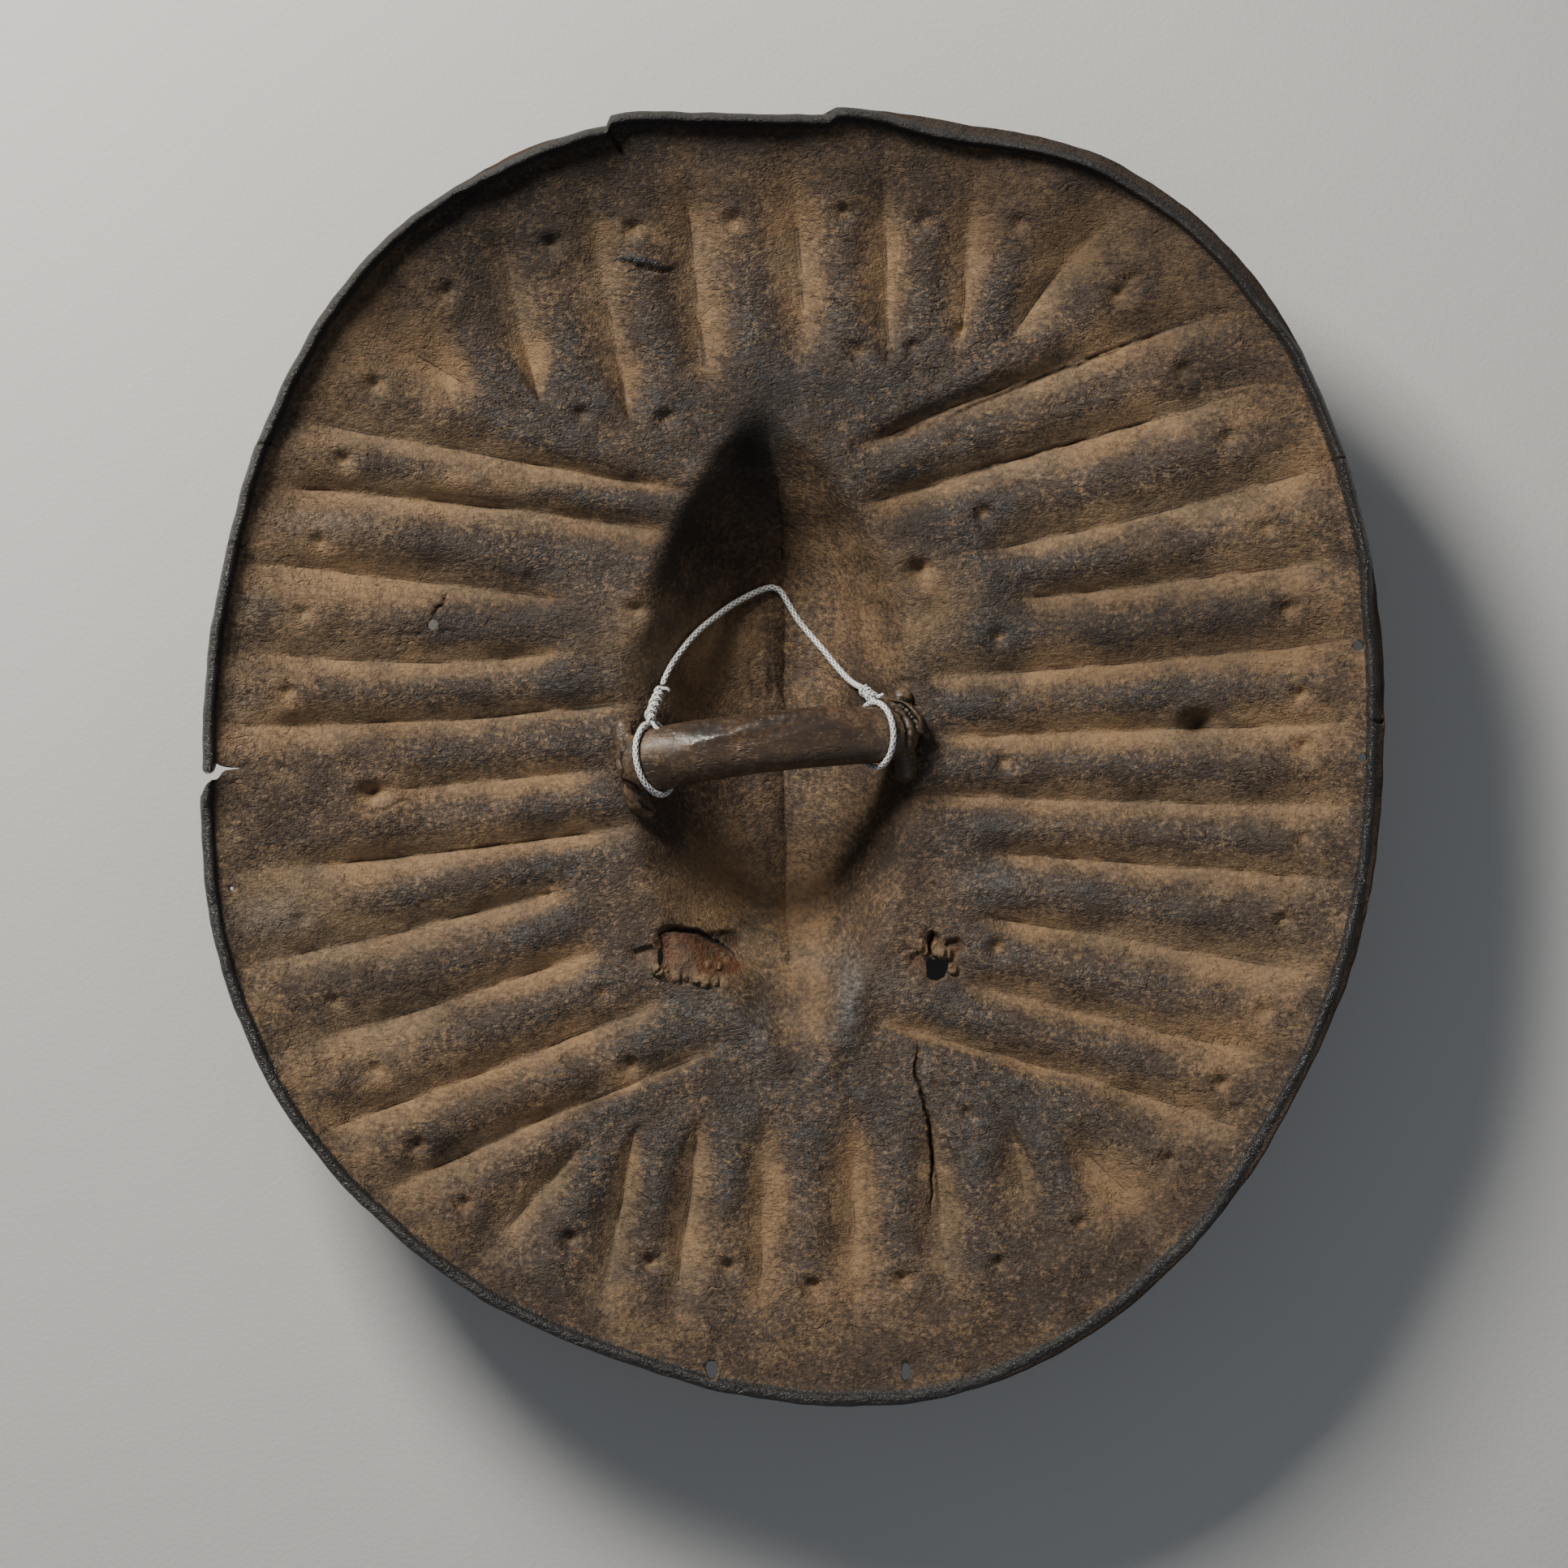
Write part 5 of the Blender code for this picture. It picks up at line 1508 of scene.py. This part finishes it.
def hollows(data, points, normals):
    """How far each point lies below the smoothed surface round it."""
    edges = np.empty(len(data.edges) * 2, np.int32)
    data.edges.foreach_get("vertices", edges)
    one, other = edges[0::2], edges[1::2]
    count = np.bincount(edges, minlength=len(points))[:, None]
    smoothed = points
    for _ in range(10):
        total = np.zeros_like(points)
        np.add.at(total, one, smoothed[other])
        np.add.at(total, other, smoothed[one])
        smoothed = 0.5 * smoothed + 0.5 * total / np.maximum(count, 1)
    return np.sum((smoothed - points) * normals, axis=1)


def grip_piece():
    """The bar, its rolled ends and its pegs as one skin."""
    path = grip_path(121)
    shown = path[round(120 * GRIP_FROM) : round(120 * GRIP_TO) + 1 : 2]
    bars = [rounded_bar(shown, BAR_SIDES)]
    bars += [rounded_bar(grip_end_path(rows), TOE_SIDES) for rows in GRIP_ENDS]
    grip = mesh_object("rolled_grip", *joined(bars + [peg(pixel) for pixel in PEGS]))
    face_outwards(grip.data)
    remesh = grip.modifiers.new("skin", "REMESH")
    remesh.mode = "VOXEL"
    remesh.voxel_size = GRIP_SKIN_STEP
    smooth = grip.modifiers.new("soften", "SMOOTH")
    smooth.factor = 0.5
    smooth.iterations = 2
    apply_modifiers(grip)
    return grip


def make_grip():
    grip = grip_piece()
    data = grip.data
    points, normals = points_and_normals(data)
    left, right = on_shield(*GRIP_LEFT), on_shield(*GRIP_RIGHT)
    length = np.linalg.norm(right - left)
    along = (points[:, :2] - left) @ ((right - left) / length) / length
    stretched = points * [0.35, 1.0, 1.0]
    relief = unevenness(stretched, GRIP_GRAIN)
    relief += 0.0008 * rough(points * [0.25, 0.8, 0.8], 0.020, 23)
    edge = np.exp(-(((normals[:, 1] - 0.80) / 0.22) ** 2))
    edge *= smooth_step((along - 0.2) / 0.1) * smooth_step((0.66 - along) / 0.1)
    relief += 0.0009 * edge * rough(points * [1.0, 1.0, 0.5], 0.0035, 26)
    facing_up = smooth_step((normals[:, 2] + 0.1) / 0.4)
    near = [nearness(points, line, GRIP_GAP_WIDTH) for line in GRIP_GAPS]
    gaps = smooth_step(1.3 * np.max(near, axis=0)) * facing_up
    relief -= GRIP_GAP_DEPTH * gaps
    ridge = nearness(points, GRIP_WORN_RIDGE, picture_length(16))
    relief += 0.0011 * smooth_step(ridge) * facing_up
    sunk = smooth_step((hollows(data, points, normals) - 0.00010) / 0.00035)
    place_points(data, points + normals * relief[:, None])
    bar = smooth_step((along - 0.12) / 0.16) * smooth_step((0.94 - along) / 0.10)
    top = smooth_step((normals[:, 2] - 0.05) / 0.6) * smooth_step((normals[:, 1] + 0.35) / 0.7)
    polish = bar * top * (0.85 + 0.5 * rough(stretched, 0.020, 24))
    toes = (1 - bar) * smooth_step(normals[:, 2]) * (0.45 + 0.6 * rough(points, 0.012, 25))
    low = smooth_step((0.3 - normals[:, 2]) / 0.6)
    bare_ends = 0.30 + 0.5 * rough(points, 0.010, 27)
    # Painted shade where the skin lies in a hollow or a gap
    set_mask(data, "crevice_shade", np.maximum(sunk, gaps))
    set_mask(data, "polish", polish + toes * 0.6)
    set_mask(data, "dust_and_light", 0.22 + bare_ends * (1 - bar) + 0.2 * low - 0.45 * top * bar)
    dress(grip, grip_paint(), "grip")


# The cord


def braid(path, radius, closed=False):
    """A braided cord along a path: two sets of strands that wind opposite ways."""
    count, lengths = len(path), lengths_of(path)
    over = np.array([0.0, 0.0, 1.0])
    points, gaps = [], []
    for index, point in enumerate(path):
        ahead = (index + 1) % count if closed else min(index + 1, count - 1)
        way = path[ahead] - path[index - 1 if closed else max(index - 1, 0)]
        way = way / np.linalg.norm(way)
        over = over - way * (over @ way)
        over /= np.linalg.norm(over)
        beside = np.cross(way, over)
        shrink = 1.0 if closed else min(1.0, 0.55 + 0.2 * min(index, count - 1 - index))
        phase = 2 * math.pi * lengths[index] / BRAID_PITCH
        for side in range(BRAID_SIDES):
            turn = 2 * math.pi * side / BRAID_SIDES
            one = abs(math.cos(BRAID_STRANDS / 2 * turn + phase))
            other = abs(math.cos(BRAID_STRANDS / 2 * turn - phase))
            strand = (max(one, other) - math.sqrt(0.5)) / (1 - math.sqrt(0.5))
            reach = radius * shrink * (1 - BRAID_DENT + BRAID_DENT * strand)
            points.append(point + reach * (over * math.cos(turn) + beside * math.sin(turn)))
            gaps.append(1 - strand)
    return points, tube_faces(count, BRAID_SIDES, closed), gaps


def tie_loop(tie):
    """The closed path of a tie round the grip, its first point at the grip's upper side."""
    path = grip_path(61)
    slant = picture_length(tie["slant"]) / np.linalg.norm(path[-1][:3] - path[0][:3])
    spare = TIE_CLEARANCE + CORD_DIAMETER / 2
    points = []
    for turn in np.linspace(0, 2 * math.pi, 60, endpoint=False):
        place = np.clip(tie["share"] + slant * math.sin(turn), 0, 1) * (len(path) - 1)
        index = min(int(place), len(path) - 2)
        row = path[index] + (path[index + 1] - path[index]) * (place - index)
        _, aside, up = frame_along(path, index)
        reach = aside * (row[3] + spare) * math.cos(turn) + up * (row[4] + spare) * math.sin(turn)
        points.append(row[:3] + reach)
    return np.array(points)


def knot_lines(tie, loop):
    """The knot's wraps, the cord inside them and its two short tails, each with its radius."""
    out = loop[0] - loop.mean(axis=0)
    start = loop[0] + out / np.linalg.norm(out) * CORD_DIAMETER * 0.5
    end = np.array([*on_shield(*tie["knot_end"]), start[2] - tie["drop"]])
    way = (end - start) / np.linalg.norm(end - start)
    beside = np.cross(way, [0.0, 0.0, 1.0])
    beside /= np.linalg.norm(beside)
    over = np.cross(beside, way)
    radius = CORD_DIAMETER * 0.66
    coil = []
    for share in np.linspace(0, 1, tie["wraps"] * 16 + 1):
        turn = 2 * math.pi * tie["wraps"] * share
        swell = radius * (1.0 + 0.12 * math.sin(turn * 0.37 + 1.0))
        place = start + (end - start) * (0.04 + 0.92 * share)
        coil.append(place + swell * (over * math.cos(turn) + beside * math.sin(turn)))
    core = start + (end - start) * np.linspace(-0.10, 1.08, 12)[:, None]
    tail_start, hook = end - way * 0.002 + over * radius, start + beside * 0.0018
    tail = [(0, 0), (0.0025, 0.001), (0.0048, 0)]
    tail = [tail_start + (beside * wide + over * high) * tie["tail"] for wide, high in tail]
    low_tail = [(0, 0), (0.003, 0.004), (0.0065, 0.0055)]
    low_tail = [hook + (beside * wide - way * back) * tie["tail"] for wide, back in low_tail]
    return (
        (evenly(smooth_path(coil, 2), CORD_STEP), CORD_DIAMETER * 0.38),
        (core, CORD_DIAMETER * 0.5),
        (smooth_path(tail, 6), CORD_DIAMETER * 0.30),
        (smooth_path(low_tail, 6), CORD_DIAMETER * 0.34),
    )


def cord_piece(name, braids, node, paint):
    piece = mesh_object(name, *joined([(points, faces) for points, faces, _ in braids]))
    face_outwards(piece.data)
    set_mask(piece.data, "strand_gap_shade", np.concatenate([gaps for _, _, gaps in braids]))
    dress(piece, paint, node)
    return piece


def make_cord():
    paint = cord_paint()
    for node, tie in TIES.items():
        side = node.removeprefix("cord_tie_")
        loop = tie_loop(tie)
        closed = evenly(smooth_path(np.vstack([loop, loop[:1]]), 4), CORD_STEP)[:-1]
        cord_piece(f"loop_{side}", [braid(closed, CORD_DIAMETER / 2, True)], node, paint)
        knot = [braid(line, radius) for line, radius in knot_lines(tie, loop)]
        cord_piece(f"knot_{side}", knot, node, paint)
    path = evenly(smooth_path(CORD_ROUTE, 16), CORD_STEP)
    cord = cord_piece("white_cord", [braid(path, CORD_DIAMETER / 2)], "hanging_cord", paint)


make_cord()
make_hide()
make_grip()


# Floor and light


def make_floor():
    reach = 6.0
    corners = [(-reach, -reach, 0), (reach, -reach, 0), (reach, reach, 0), (-reach, reach, 0)]
    floor = mesh_object("floor", corners, [(0, 1, 2, 3)])
    floor.data.materials.append(floor_paint())


def make_light(name, direction, distance, size, power, tint):
    """A soft square light that shines along this direction onto the shield."""
    data = bpy.data.lights.new(name, "AREA")
    data.size = size
    data.energy = power
    data.color = tint
    light = linked(name, data)
    way = Vector(direction).normalized()
    light.location = Vector((0, 0, RIM_HEIGHT / 2)) - way * distance
    light.rotation_euler = way.to_track_quat("-Z", "Y").to_euler()


def make_world():
    world = bpy.data.worlds.new("studio")
    world.use_nodes = True
    background = world.node_tree.nodes["Background"]
    background.inputs["Color"].default_value = (0.80, 0.86, 0.95, 1.0)
    background.inputs["Strength"].default_value = 0.15
    bpy.context.scene.world = world


make_floor()
make_world()
WARM, COOL = (1.0, 0.955, 0.88), (0.92, 0.95, 1.0)
make_light("key", (0.74, -1.0, -0.92), distance=2.0, size=0.60, power=68.0, tint=WARM)
make_light("fill", (-0.8, 0.9, -1.3), distance=3.0, size=2.2, power=9.0, tint=COOL)
